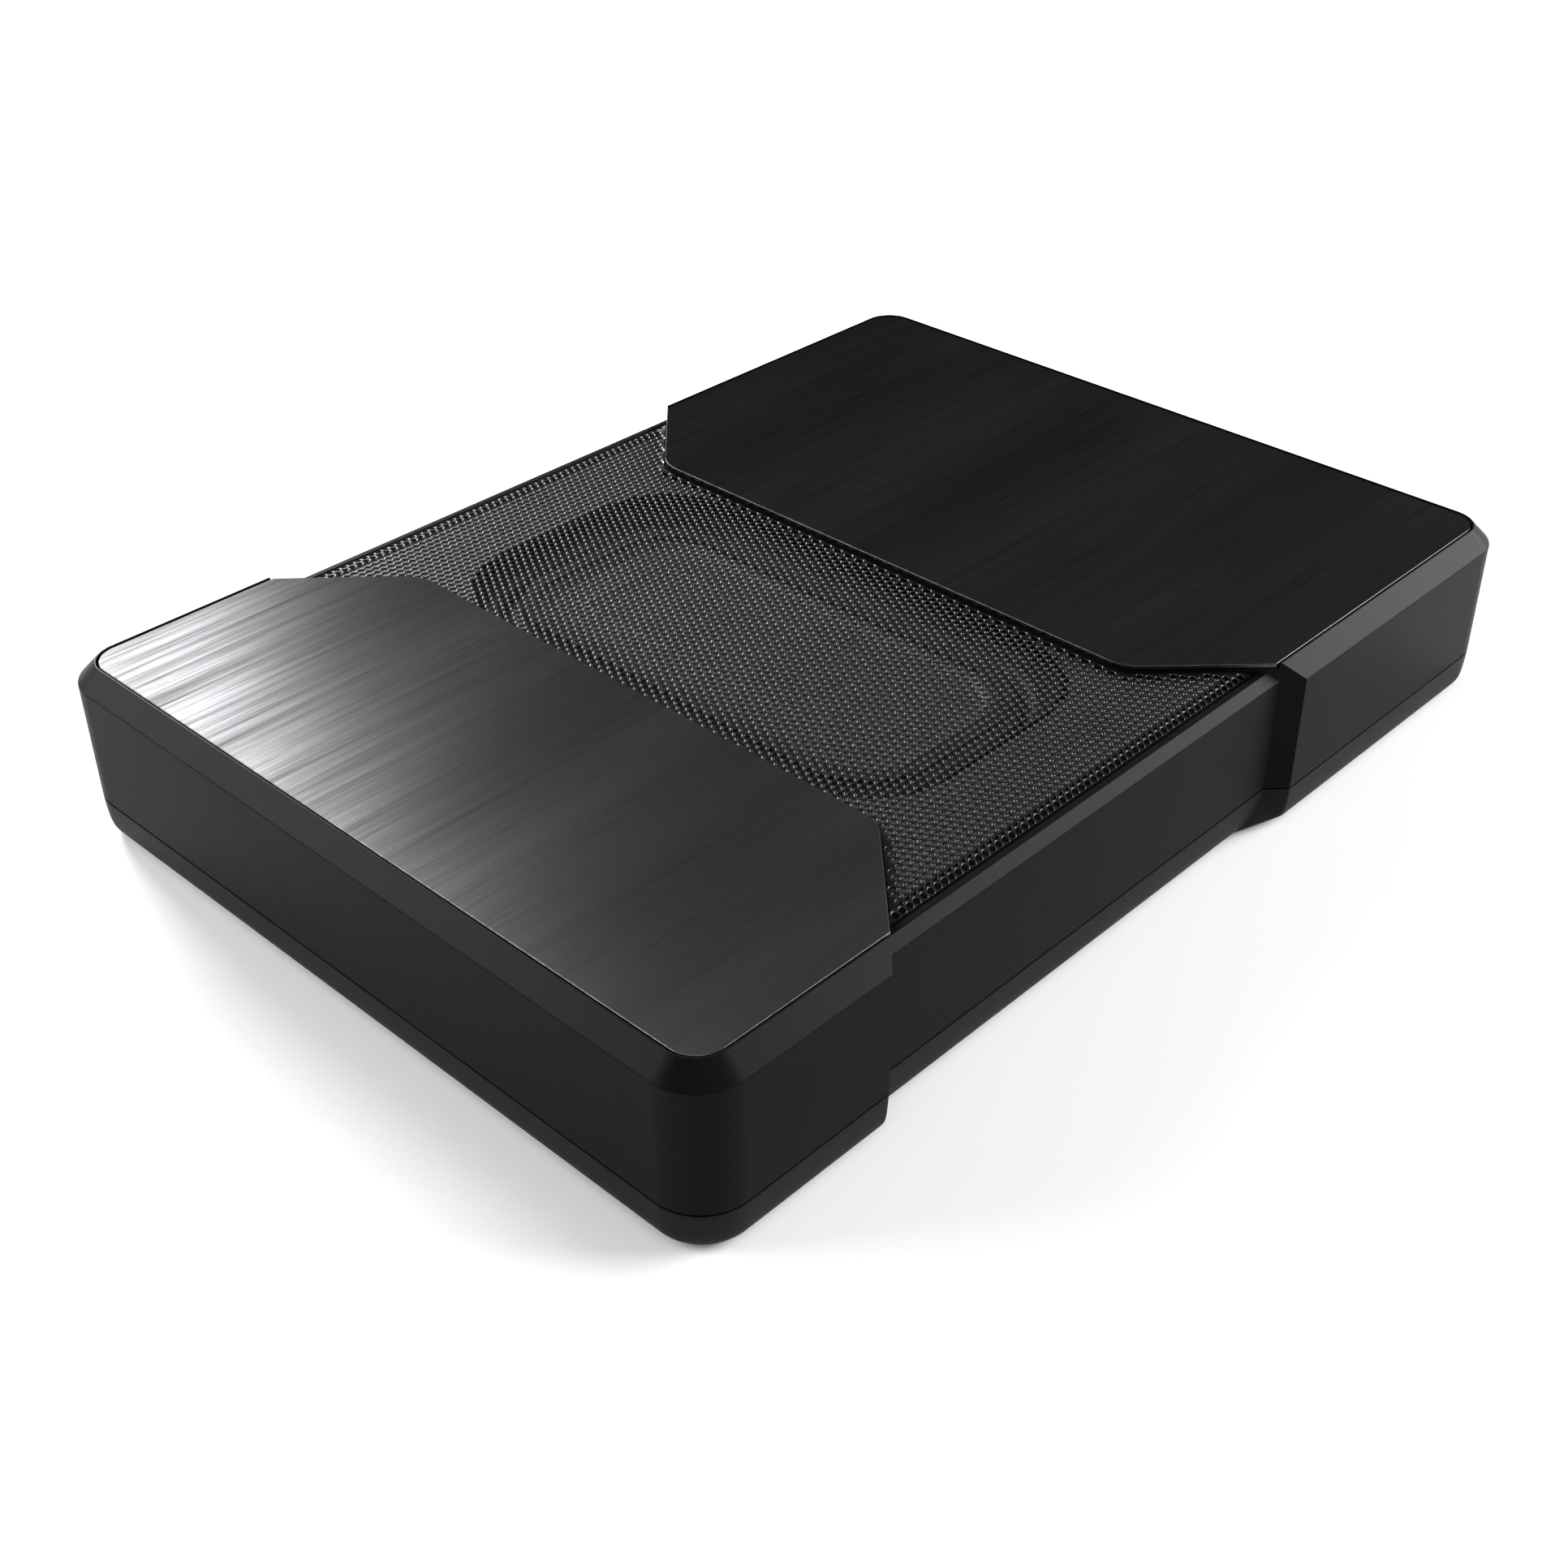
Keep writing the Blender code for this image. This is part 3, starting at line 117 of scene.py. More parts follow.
def inset_corners(corners, insets):
    """Corners (x, y, radius) with each side moved inwards, by one distance or one per side."""
    if not isinstance(insets, (list, tuple)):
        insets = [insets] * len(corners)
    moved = []
    for index, (_, _, radius) in enumerate(corners):
        point_a, along_a = side_line(corners, index - 1, insets[index - 1])
        point_b, along_b = side_line(corners, index, insets[index])
        turn = along_a.cross(along_b)
        point = point_a + along_a * ((point_b - point_a).cross(along_b) / turn)
        mean = (insets[index - 1] + insets[index]) / 2
        if radius:
            radius = max(radius - mean if turn > 0 else radius + mean, 0.4 * MM)
        moved.append((point.x, point.y, radius))
    return moved


def rounded(corners, steps=ARC):
    """The outline's points, with each corner's radius turned as an arc."""
    points = []
    for index, (x, y, radius) in enumerate(corners):
        corner = Vector((x, y))
        if not radius:
            points.append(corner)
            continue
        back = (Vector(corners[index - 1][:2]) - corner).normalized()
        ahead = (Vector(corners[(index + 1) % len(corners)][:2]) - corner).normalized()
        half_angle = math.acos(max(-1, min(1, back.dot(ahead)))) / 2
        centre = corner + (back + ahead).normalized() * radius / math.sin(half_angle)
        start = corner + back * radius / math.tan(half_angle) - centre
        end = corner + ahead * radius / math.tan(half_angle) - centre
        sweep = start.angle_signed(end)
        for step in range(steps + 1):
            points.append(centre + Matrix.Rotation(-sweep * step / steps, 2) @ start)
    return points


def rectangle(half_x, half_y, radius=0.0, centre=(0, 0)):
    signs = [(-1, -1), (1, -1), (1, 1), (-1, 1)]
    return [(centre[0] + sx * half_x, centre[1] + sy * half_y, radius) for sx, sy in signs]


def in_mm(*pairs):
    """Pairs of millimetres, given in metres."""
    return [(a * MM, b * MM) for a, b in pairs]


def extent(node):
    """A node's low and high corners, and its centre."""
    low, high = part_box(node)
    return low, high, (low + high) / 2


def casing_corners(flare=0.0):
    """The housing's outline in plan; flare draws the far steps out under the middle section."""
    edge = 0.8 * MM
    near_in = NEAR_STEP_X + STEP_DEPTH
    far_in = FAR_STEP_X - STEP_DEPTH - flare
    front = [
        (-HALF_X, -HALF_Y, CORNER_RADIUS),
        (NEAR_STEP_X, -HALF_Y, edge),
        (near_in, -HALF_Y + STEP_DEPTH, edge),
        (far_in, -HALF_Y + STEP_DEPTH, edge + flare / 2),
        (FAR_STEP_X, -HALF_Y, edge + flare / 2),
        (HALF_X, -HALF_Y, CORNER_RADIUS),
    ]
    return front + [(x, -y, radius) for x, y, radius in reversed(front)]


def block_corners(end_x, step_x, edge_x):
    """A raised block's outline: two square corners, and a tip with 45 degree sides at the mesh."""
    side = math.copysign(1, -end_x)
    tip_y = HALF_Y - abs(edge_x - step_x)
    front = [(end_x, -side * HALF_Y, CORNER_RADIUS), (step_x, -side * HALF_Y, 0),
             (edge_x, -side * tip_y, TIP_RADIUS)]
    return front + [(x, -y, radius) for x, y, radius in reversed(front)]


NEAR_BLOCK = block_corners(-HALF_X, NEAR_STEP_X, NEAR_EDGE_X)
FAR_BLOCK = block_corners(HALF_X, FAR_STEP_X, FAR_EDGE_X)


def block_insets(outer, inner):
    return [outer, inner, inner, inner, outer, outer]


def mesh_bay_corners(half_y):
    near_tip = HALF_Y - (NEAR_EDGE_X - NEAR_STEP_X)
    far_tip = HALF_Y - (FAR_STEP_X - FAR_EDGE_X)
    near_x = NEAR_EDGE_X - (half_y - near_tip)
    far_x = FAR_EDGE_X + (half_y - far_tip)
    return [
        (near_x, -half_y, 0),
        (far_x, -half_y, 0),
        (FAR_EDGE_X, -far_tip, TIP_RADIUS),
        (FAR_EDGE_X, far_tip, TIP_RADIUS),
        (far_x, half_y, 0),
        (near_x, half_y, 0),
        (NEAR_EDGE_X, near_tip, TIP_RADIUS),
        (NEAR_EDGE_X, -near_tip, TIP_RADIUS),
    ]


# ---------------------------------------------------------------- solids

def new_object(name, data):
    item = bpy.data.objects.new(name, data)
    bpy.context.scene.collection.objects.link(item)
    return item


def from_bmesh(name, shape, recalc=True):
    if recalc:
        bmesh.ops.recalc_face_normals(shape, faces=shape.faces)
    mesh = bpy.data.meshes.new(name)
    shape.to_mesh(mesh)
    shape.free()
    return new_object(name, mesh)


def bridge(shape, rings, closed=False):
    """Faces between rings of equal point count, with an end face at each end unless closed."""
    for low, high in zip(rings, rings[1:] + rings[:1] if closed else rings[1:]):
        for i in range(len(low)):
            shape.faces.new((low[i - 1], low[i], high[i], high[i - 1]))
    if not closed:
        shape.faces.new(list(reversed(rings[0])))
        shape.faces.new(rings[-1])


def loft(name, rings, closed=False):
    """A solid lofted through outlines of equal point count, each with its height; closed makes a ring."""
    shape = bmesh.new()
    bridge(shape, [[shape.verts.new((p[0], p[1], z)) for p in points] for points, z in rings], closed)
    return from_bmesh(name, shape)


def stepped(name, corners, profile, steps=ARC):
    """A solid lofted up a profile of (inset, height) round an outline."""
    return loft(name, [(rounded(inset_corners(corners, inset), steps), z) for inset, z in profile])


def prism(name, outline, low, high):
    return loft(name, [(outline, low), (outline, high)])


def prism_along_x(name, outline, low, high):
    """A closed (y, z) outline extruded along X."""
    shape = bmesh.new()
    bridge(shape, [[shape.verts.new((x, p[0], p[1])) for p in outline] for x in (low, high)])
    return from_bmesh(name, shape)


def cap_profile(low, high, edge_low, edge_high, steps=3):
    """(inset, height) up a straight wall with rounded lower and upper edges."""
    turns = [math.pi / 2 * step / steps for step in range(steps + 1)]
    lower = [(edge_low * (1 - math.sin(a)), low + edge_low * (1 - math.cos(a))) for a in turns]
    upper = [(edge_high * (1 - math.cos(a)), high - edge_high * (1 - math.sin(a))) for a in turns]
    return lower + upper


def lathe(name, profile, foot, axis="Z", steps=48, closed=False):
    """A turned solid. The profile is (radius, height); points on the axis close it."""
    shape = bmesh.new()
    rings = []
    for radius, height in profile:
        if radius <= 0:
            rings.append([shape.verts.new((0, 0, height))])
            continue
        ring = []
        for step in range(steps):
            angle = math.tau * step / steps
            ring.append(shape.verts.new((radius * math.cos(angle), radius * math.sin(angle), height)))
        rings.append(ring)
    for first, second in zip(rings, rings[1:] + rings[:1] if closed else rings[1:]):
        for i in range(steps):
            a = [first[0]] if len(first) == 1 else [first[i - 1], first[i]]
            b = [second[0]] if len(second) == 1 else [second[i], second[i - 1]]
            if len(a) + len(b) > 2:
                shape.faces.new(a + b)
    if axis == "X":
        bmesh.ops.rotate(shape, verts=shape.verts, matrix=Matrix.Rotation(math.pi / 2, 3, "Y"))
    bmesh.ops.translate(shape, verts=shape.verts, vec=foot)
    return from_bmesh(name, shape)


def box(name, low, high, edge=0.0, segments=2):
    shape = bmesh.new()
    bmesh.ops.create_cube(shape, size=1)
    size = [b - a for a, b in zip(low, high)]
    middle = [(a + b) / 2 for a, b in zip(low, high)]
    bmesh.ops.scale(shape, vec=size, verts=shape.verts)
    bmesh.ops.translate(shape, vec=middle, verts=shape.verts)
    if edge:
        bmesh.ops.bevel(shape, geom=shape.edges[:], offset=edge, segments=segments,
                        profile=0.5, affect="EDGES")
    return from_bmesh(name, shape)


def bar(name, start, end, centre, half_y, half_z, edge=0.0, segments=2):
    """A box along X from start to end, centred on (y, z)."""
    y, z = centre
    return box(name, (start, y - half_y, z - half_z), (end, y + half_y, z + half_z), edge, segments)


def boolean(target, tool, operation="DIFFERENCE"):
    modifier = target.modifiers.new(tool.name, "BOOLEAN")
    modifier.object = tool
    modifier.operation = operation


def carve(target, *tools):
    for tool in tools:
        boolean(target, tool)


def weld_on(target, *tools):
    for tool in tools:
        boolean(target, tool, "UNION")


def settle(item):
    """Applies an object's modifiers and removes the cutters they used."""
    graph = bpy.context.evaluated_depsgraph_get()
    mesh = bpy.data.meshes.new_from_object(item.evaluated_get(graph))
    tools = [m.object for m in item.modifiers if m.type == "BOOLEAN"]
    item.modifiers.clear()
    item.data = mesh
    mesh.name = item.name
    for tool in tools:
        bpy.data.objects.remove(tool, do_unlink=True)


def soften(item, width, angle=38, segments=2):
    """Rounds the sharp edges left by cutting, and settles the mesh."""
    bevel = item.modifiers.new("edges", "BEVEL")
    bevel.width = width
    bevel.segments = segments
    bevel.limit_method = "ANGLE"
    bevel.angle_limit = math.radians(angle)
    bevel.use_clamp_overlap = True
    bevel.miter_outer = "MITER_ARC"
    settle(item)


def merged(item, distance=0.002 * MM):
    shape = bmesh.new()
    shape.from_mesh(item.data)
    bmesh.ops.remove_doubles(shape, verts=shape.verts, dist=distance)
    bmesh.ops.dissolve_limit(shape, angle_limit=0.0005, verts=shape.verts, edges=shape.edges)
    shape.to_mesh(item.data)
    shape.free()


def shade(item, angle=32):
    """Smooth shading that keeps flat faces flat and true edges crisp."""
    item.data.shade_smooth()
    item.data.set_sharp_from_angle(angle=math.radians(angle))
    weighted = item.modifiers.new("normals", "WEIGHTED_NORMAL")
    weighted.keep_sharp = True
    settle(item)


def dress(item, width, clean=False):
    """Settles a cut piece, rounds its edges and shades it."""
    settle(item)
    if clean:
        merged(item)
    soften(item, width)
    shade(item)


def paint(item, skin):
    item.data.materials.clear()
    item.data.materials.append(skin)


def place(item, skin, body="housing", nodes=()):
    """Gives a finished piece its material and its body, and hides the nodes it stands for."""
    paint(item, skin)
    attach(item, body)
    if nodes:
        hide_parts(*nodes)


def joined(name, items):
    """One object from several meshes."""
    shape = bmesh.new()
    for item in items:
        item.data.transform(item.matrix_world)
        shape.from_mesh(item.data)
        bpy.data.objects.remove(item, do_unlink=True)
    return from_bmesh(name, shape, recalc=False)


# ---------------------------------------------------------------- materials

class Skin:
    """A Principled material with short calls for its texture nodes."""

    def __init__(self, name, colour, roughness, metallic=0.0, **sockets):
        self.material = bpy.data.materials.new(name)
        self.material.use_nodes = True
        tree = self.material.node_tree
        self.nodes, self.links = tree.nodes, tree.links
        self.shader = self.nodes["Principled BSDF"]
        self.plug(self.shader, Base_Color=(*colour, 1), Roughness=roughness, Metallic=metallic, **sockets)
        self.coords = self.nodes.new("ShaderNodeTexCoord").outputs["Object"]

    def plug(self, node, **values):
        """Sets a node's inputs, each to a plain value or to another node's output."""
        for name, value in values.items():
            socket = node.inputs[name.replace("_", " ")]
            if isinstance(value, bpy.types.NodeSocket):
                self.links.new(value, socket)
            else:
                socket.default_value = value

    def add(self, kind, output, **values):
        node = self.nodes.new("ShaderNode" + kind)
        self.plug(node, **values)
        return node.outputs[output]

    def stretch(self, scale, rotation=(0, 0, 0)):
        return self.add("Mapping", "Vector", Scale=scale, Rotation=rotation, Vector=self.coords)

    def noise(self, scale, detail=3.0, roughness=0.5, at=None):
        return self.add("TexNoise", "Fac", Scale=scale, Detail=detail, Roughness=roughness,
                        Vector=at or self.coords)

    def cells(self, scale):
        return self.add("TexVoronoi", "Distance", Scale=scale, Vector=self.coords)

    def wave(self, scale, direction, at=None, distortion=0.0):
        bands = self.add("TexWave", "Fac", Scale=scale, Distortion=distortion, Detail=0,
                         Vector=at or self.coords)
        bands.node.bands_direction = direction
        return bands

    def spread(self, value, low, high, start=0.0, end=1.0):
        """The value from start to end, mapped to low to high."""
        return self.add("MapRange", "Result", Value=value, From_Min=start, From_Max=end,
                        To_Min=low, To_Max=high)

    def calc(self, operation, a, b):
        node = self.nodes.new("ShaderNodeMath")
        node.operation = operation
        for socket, value in zip(node.inputs, (a, b)):
            if isinstance(value, (int, float)):
                socket.default_value = value
            else:
                self.links.new(value, socket)
        return node.outputs["Value"]

    def tint(self, value, first, second):
        node = self.nodes.new("ShaderNodeMix")
        node.data_type = "RGBA"
        colours = [s for s in node.inputs if s.type == "RGBA"]
        colours[0].default_value = (*first, 1)
        colours[1].default_value = (*second, 1)
        self.links.new(value, node.inputs[0])
        return [s for s in node.outputs if s.type == "RGBA"][0]

    def bump(self, height, distance, strength):
        return self.add("Bump", "Normal", Height=height, Distance=distance, Strength=strength)

    def feed(self, **outputs):
        self.plug(self.shader, **outputs)
        return self.material


def times(colour, factor):
    return tuple(c * factor for c in colour)


def moulded_plastic(name, colour, roughness, grain, depth, level):
    """Black moulded plastic: fine spark-eroded grain over faint large-scale variation."""
    skin = Skin(name, colour, roughness, Specular_IOR_Level=level)
    broad = skin.noise(18)
    fine = skin.noise(1 / grain, 2, 0.6)
    pits = skin.cells(0.8 / grain)
    mix = skin.calc("MULTIPLY", broad, fine)
    height = skin.calc("ADD", fine, skin.calc("MULTIPLY", pits, 0.6))
    return skin.feed(
        Base_Color=skin.tint(skin.spread(mix, 0, 1, 0.1, 0.45), times(colour, 0.75), times(colour, 1.5)),
        Roughness=skin.spread(fine, roughness - 0.05, roughness + 0.07, 0.3, 0.7),
        Normal=skin.bump(height, depth, 0.6),
    )


def brushed_plate(name, colour, streak_seed, stretch=0.72):
    """Black anodised aluminium, brushed along X."""
    skin = Skin(name, colour, 0.34, 1.0, Anisotropic=stretch, Specular_Tint=(0.36, 0.36, 0.36, 1))
    tangent = skin.nodes.new("ShaderNodeTangent")
    tangent.direction_type = "UV_MAP"
    tangent.uv_map = "grain"
    long_lines = skin.noise(1, 3, 0.62, skin.stretch((9 + streak_seed, 420, 40)))
    fine_lines = skin.noise(1, 2, 0.7, skin.stretch((34, 1900, 60), (0, 0, 0.006)))
    patches = skin.noise(1, 2, 0.5, skin.stretch((5, 26, 5)))
    lines = skin.calc("ADD", skin.calc("MULTIPLY", long_lines, 0.6),
                      skin.calc("MULTIPLY", fine_lines, 0.4))
    rough = skin.calc("ADD", skin.spread(lines, 0.40, 0.27, 0.3, 0.7),
                      skin.spread(patches, -0.03, 0.03, 0.3, 0.7))
    return skin.feed(
        Base_Color=skin.tint(skin.spread(lines, 0, 1, 0.34, 0.66), times(colour, 0.62),
                             times(colour, 1.55)),
        Roughness=rough,
        Normal=skin.bump(lines, 0.05 * MM, 0.35),
        Tangent=tangent.outputs["Tangent"],
    )


def coated_metal(name, colour, roughness, grain=0.5 * MM, level=0.5):
    """Powder coat on steel, with a light orange peel."""
    skin = Skin(name, colour, roughness, Specular_IOR_Level=level)
    peel = skin.noise(1 / grain, 3, 0.55)
    broad = skin.noise(60, 2)
    return skin.feed(
        Base_Color=skin.tint(skin.spread(broad, 0, 1, 0.3, 0.7), times(colour, 0.7), times(colour, 1.4)),
        Roughness=skin.spread(peel, roughness - 0.06, roughness + 0.08, 0.3, 0.7),
        Normal=skin.bump(peel, 0.03 * MM, 0.5),
    )


def soft_rubber(name, colour):
    """Black rubber with a little pale dust in its fine grain."""
    skin = Skin(name, colour, 0.55, Specular_IOR_Level=0.35)
    fine = skin.noise(2600)
    dust = skin.noise(140, 4, 0.6)
    return skin.feed(
        Base_Color=skin.tint(skin.spread(dust, 0, 1, 0.45, 0.8), colour, times(colour, 2.2)),
        Roughness=skin.spread(dust, 0.48, 0.68, 0.3, 0.7),
        Normal=skin.bump(fine, 0.02 * MM, 0.6),
    )


def woven_cone():
    """Glossy woven fibre skin of the diaphragm."""
    skin = Skin("cone_weave", (0.06, 0.06, 0.062), 0.42, Specular_IOR_Level=0.6)
    diagonal = skin.stretch((1, 1, 0), (0, 0, math.pi / 4))
    weave = skin.calc("MULTIPLY", skin.wave(260, "X", diagonal), skin.wave(260, "Y", diagonal))
    height = skin.calc("ADD", weave, skin.calc("MULTIPLY", skin.noise(900, 2), 0.2))
    return skin.feed(
        Base_Color=skin.tint(weave, (0.03, 0.03, 0.032), (0.075, 0.075, 0.08)),
        Roughness=skin.spread(weave, 0.55, 0.36),
        Normal=skin.bump(height, 0.12 * MM, 0.7),
    )


def bare_metal(name, colour, roughness, lines=(40, 40, 900)):
    """Bare or plated metal: fine machining lines and faint stains."""
    skin = Skin(name, colour, roughness, 1.0)
    grain = skin.noise(1, 3, 0.6, skin.stretch(lines))
    stain = skin.noise(90, 4, 0.6)
    return skin.feed(
        Base_Color=skin.tint(skin.spread(stain, 0, 1, 0.35, 0.75), colour, times(colour, 0.72)),
        Roughness=skin.spread(grain, roughness - 0.08, roughness + 0.14, 0.3, 0.7),
        Normal=skin.bump(grain, 0.02 * MM, 0.5),
    )


def wound_copper():
    """Enamelled copper wire."""
    skin = Skin("enamelled_winding", (0.55, 0.2, 0.06), 0.3, 0.85, Coat_Weight=0.5)
    turns = skin.wave(380, "Z", None, 0.6)
    return skin.feed(
        Base_Color=skin.tint(skin.noise(200), (0.34, 0.11, 0.03), (0.72, 0.3, 0.11)),
        Roughness=skin.spread(turns, 0.24, 0.42),
        Normal=skin.bump(turns, 0.3 * MM, 0.8),
    )


def dipped_cloth():
    """The spider's resin-dipped cloth."""
    skin = Skin("spider_weave", (0.46, 0.3, 0.09), 0.8, Sheen_Weight=0.3)
    weave = skin.calc("MULTIPLY", skin.wave(420, "X", None, 0.3), skin.wave(420, "Y", None, 0.3))
    return skin.feed(
        Base_Color=skin.tint(skin.noise(60, 4), (0.36, 0.21, 0.05), (0.6, 0.42, 0.15)),
        Roughness=skin.spread(weave, 0.9, 0.68),
        Normal=skin.bump(weave, 0.2 * MM, 0.8),
    )


def solder_mask():
    """Green board with paler runs of track under the mask."""
    skin = Skin("board_mask", (0.01, 0.11, 0.05), 0.34, Coat_Weight=0.4)
    runs = skin.spread(skin.wave(46, "X", skin.stretch((1, 1, 0)), 3.5), 0, 1, 0.35, 0.4)
    height = skin.calc("ADD", runs, skin.calc("MULTIPLY", skin.wave(500, "Y"), 0.15))
    return skin.feed(
        Base_Color=skin.tint(runs, (0.006, 0.075, 0.03), (0.014, 0.15, 0.07)),
        Roughness=skin.spread(skin.cells(150), 0.26, 0.46, 0, 0.6),
        Normal=skin.bump(height, 0.05 * MM, 0.7),
    )


def tinted_plastic(name, colour, transmission, roughness):
    """Coloured plastic, clear or opaque, with a slight haze."""
    skin = Skin(name, colour, roughness, Transmission_Weight=transmission)
    haze = skin.noise(420)
    return skin.feed(
        Base_Color=skin.tint(haze, times(colour, 0.75), colour),
        Roughness=skin.spread(haze, roughness, roughness + 0.15),
        Normal=skin.bump(haze, 0.02 * MM, 0.3),
    )


CASING = moulded_plastic("casing_moulding", (0.0028, 0.0028, 0.003), 0.4, 0.28 * MM, 0.02 * MM, 0.04)
TRAY = moulded_plastic("tray_moulding", (0.005, 0.005, 0.0054), 0.48, 0.55 * MM, 0.06 * MM, 0.07)
# A lighter copy of the black casing plastic for the grille frame: painted light, standing for the grazing
# light that reaches the deck through the mesh.
RING_PLASTIC_PAINTED_LIGHT = moulded_plastic("ring_moulding_painted_light", (0.026, 0.026, 0.027), 0.4, 0.3 * MM, 0.01 * MM, 0.5)
PART_PLASTIC = moulded_plastic("component_moulding", (0.014, 0.014, 0.015), 0.33, 0.2 * MM,
                               0.012 * MM, 0.5)
# The two top plates are one anodised aluminium. Their base colours differ only as painted light: the near
# plate is painted lighter as a painted highlight, and the far plate is painted darker as painted shade.
NEAR_PLATE_PAINTED_LIGHTER = brushed_plate("near_plate_brushed_painted_lighter", (0.078, 0.078, 0.08), 0)
FAR_PLATE_PAINTED_DARKER = brushed_plate("far_plate_brushed_painted_darker", (0.046, 0.046, 0.047), 2, 0.5)
MESH_COAT = coated_metal("mesh_coat", (0.003, 0.003, 0.003), 0.26, level=0.22)
FRAME_PAINT = coated_metal("basket_paint", (0.03, 0.03, 0.032), 0.45, 0.8 * MM)
RUBBER = soft_rubber("surround_rubber", (0.010, 0.010, 0.011))
FOOT_RUBBER = soft_rubber("foot_rubber", (0.014, 0.014, 0.014))
CONE_SKIN = woven_cone()
ZINC = bare_metal("zinc_plate", (0.58, 0.57, 0.53), 0.3)
FERRITE = bare_metal("ground_ferrite", (0.06, 0.06, 0.065), 0.62, (300, 300, 300))
ALUMINIUM = bare_metal("extruded_aluminium", (0.74, 0.74, 0.76), 0.34, (60, 4, 900))
GOLD = bare_metal("gold_flash", (0.83, 0.6, 0.24), 0.2, (900, 40, 40))
TIN = bare_metal("tinned_contact", (0.7, 0.69, 0.66), 0.24, (30, 700, 700))
COPPER = wound_copper()
CLOTH = dipped_cloth()
BOARD = solder_mask()
AMBER = tinted_plastic("fuse_amber", (0.75, 0.26, 0.02), 0.45, 0.12)
LENS = tinted_plastic("lamp_lens", (0.12, 0.4, 0.75), 0.6, 0.08)
RED_SLEEVE = tinted_plastic("sleeve_red", (0.5, 0.02, 0.018), 0.0, 0.38)
BLACK_SLEEVE = tinted_plastic("sleeve_black", (0.02, 0.02, 0.02), 0.0, 0.38)
WHITE_INSERT = tinted_plastic("insert_white", (0.75, 0.75, 0.72), 0.0, 0.35)
RED_INSERT = tinted_plastic("insert_red", (0.6, 0.03, 0.025), 0.0, 0.35)
PAD_PRINT = tinted_plastic("pad_print", (0.55, 0.55, 0.55), 0.0, 0.5)


# ---------------------------------------------------------------- housing

def raised_form(name, corners):
    reach = 20 * MM
    square = [(x, y, r if r == TIP_RADIUS else 0) for x, y, r in corners]
    outline = rounded(inset_corners(square, block_insets(-reach, 0)))
    return prism(name, outline, 0, HEIGHT + reach)


def outer_profile():
    """(inset, height) of the wall, its chamfer and the small radii between them."""
    low, high, radius = CASING_BOTTOM, HEIGHT, 0.5 * MM
    shape = [(40 * MM, low, 0), (0, low, 0.25 * MM), (0, high - CHAMFER, radius * 1.6),
             (CHAMFER, high, 0.3 * MM), (40 * MM, high, 0)]
    return [(p[0], p[1]) for p in rounded(shape, 4)[1:-1]]


def middle_outline():
    y, top = HALF_Y - STEP_DEPTH, MIDDLE_TOP
    front = [(-y, CASING_BOTTOM, 0.25 * MM), (-y, top - MIDDLE_CHAMFER, 0.6 * MM),
             (-y + MIDDLE_CHAMFER, top, 0.35 * MM), (-MESH_BAY_HALF_Y, top, 0.3 * MM),
             (-MESH_BAY_HALF_Y, MESH_DECK, 0.2 * MM)]
    back = [(-py, z, r) for py, z, r in reversed(front)]
    return rounded(front + back, 4)


def upper_casing():
    casing = stepped("casing_shell", rectangle(HALF_X, HALF_Y, CORNER_RADIUS), outer_profile(), 20)
    near_part = new_object("near_part", casing.data.copy())
    boolean(near_part, raised_form("near_form", NEAR_BLOCK), "INTERSECT")
    boolean(casing, raised_form("far_form", FAR_BLOCK), "INTERSECT")
    settle(near_part)
    overlap = 6 * MM
    middle = prism_along_x("middle_part", middle_outline(), NEAR_STEP_X - overlap, FAR_STEP_X + overlap)
    weld_on(casing, near_part, middle)
    inside = inset_corners(casing_corners(), WALL)
    carve(casing, prism("inside", rounded(inside, 8), 0, DECK_UNDERSIDE))
    for label, corners in (("near_dome", NEAR_BLOCK), ("far_dome", FAR_BLOCK)):
        dome = inset_corners(corners, CHAMFER + 0.4 * MM)
        carve(casing, prism(label, rounded(dome, 8), DECK_UNDERSIDE - 5 * MM, BLOCK_UNDERSIDE))
    opening = rectangle(OPENING[0] / 2, OPENING[1] / 2, OPENING_RADIUS, (DRIVER_X, 0))
    carve(casing, prism("opening", rounded(opening, 20), 40 * MM, 60 * MM))
    for label, corners in (("near_seat", NEAR_BLOCK), ("far_seat", FAR_BLOCK)):
        seat = inset_corners(corners, block_insets(CHAMFER + 0.35 * MM, -10 * MM))
        carve(casing, prism(label, rounded(seat, 20), PLATE_LOW - GAP, HEIGHT * 2))
    duct = box("duct", (PANEL_X + GAP, -BAY_HALF_Y - BAY_WALL, BAY_LOW - BAY_WALL),
               (HALF_X - MM, BAY_HALF_Y + BAY_WALL, BAY_HIGH + BAY_WALL))
    mouth = rectangle(BAY_HALF_Y, (BAY_HIGH - BAY_LOW) / 2, 1.2 * MM, (0, BAY_Z))
    weld_on(casing, duct)
    carve(casing, prism_along_x("mouth", rounded(mouth, 6), PANEL_X - MM, HALF_X + MM))
    dress(casing, 0.28 * MM, clean=True)
    place(casing, CASING, nodes=["upper_casing"])


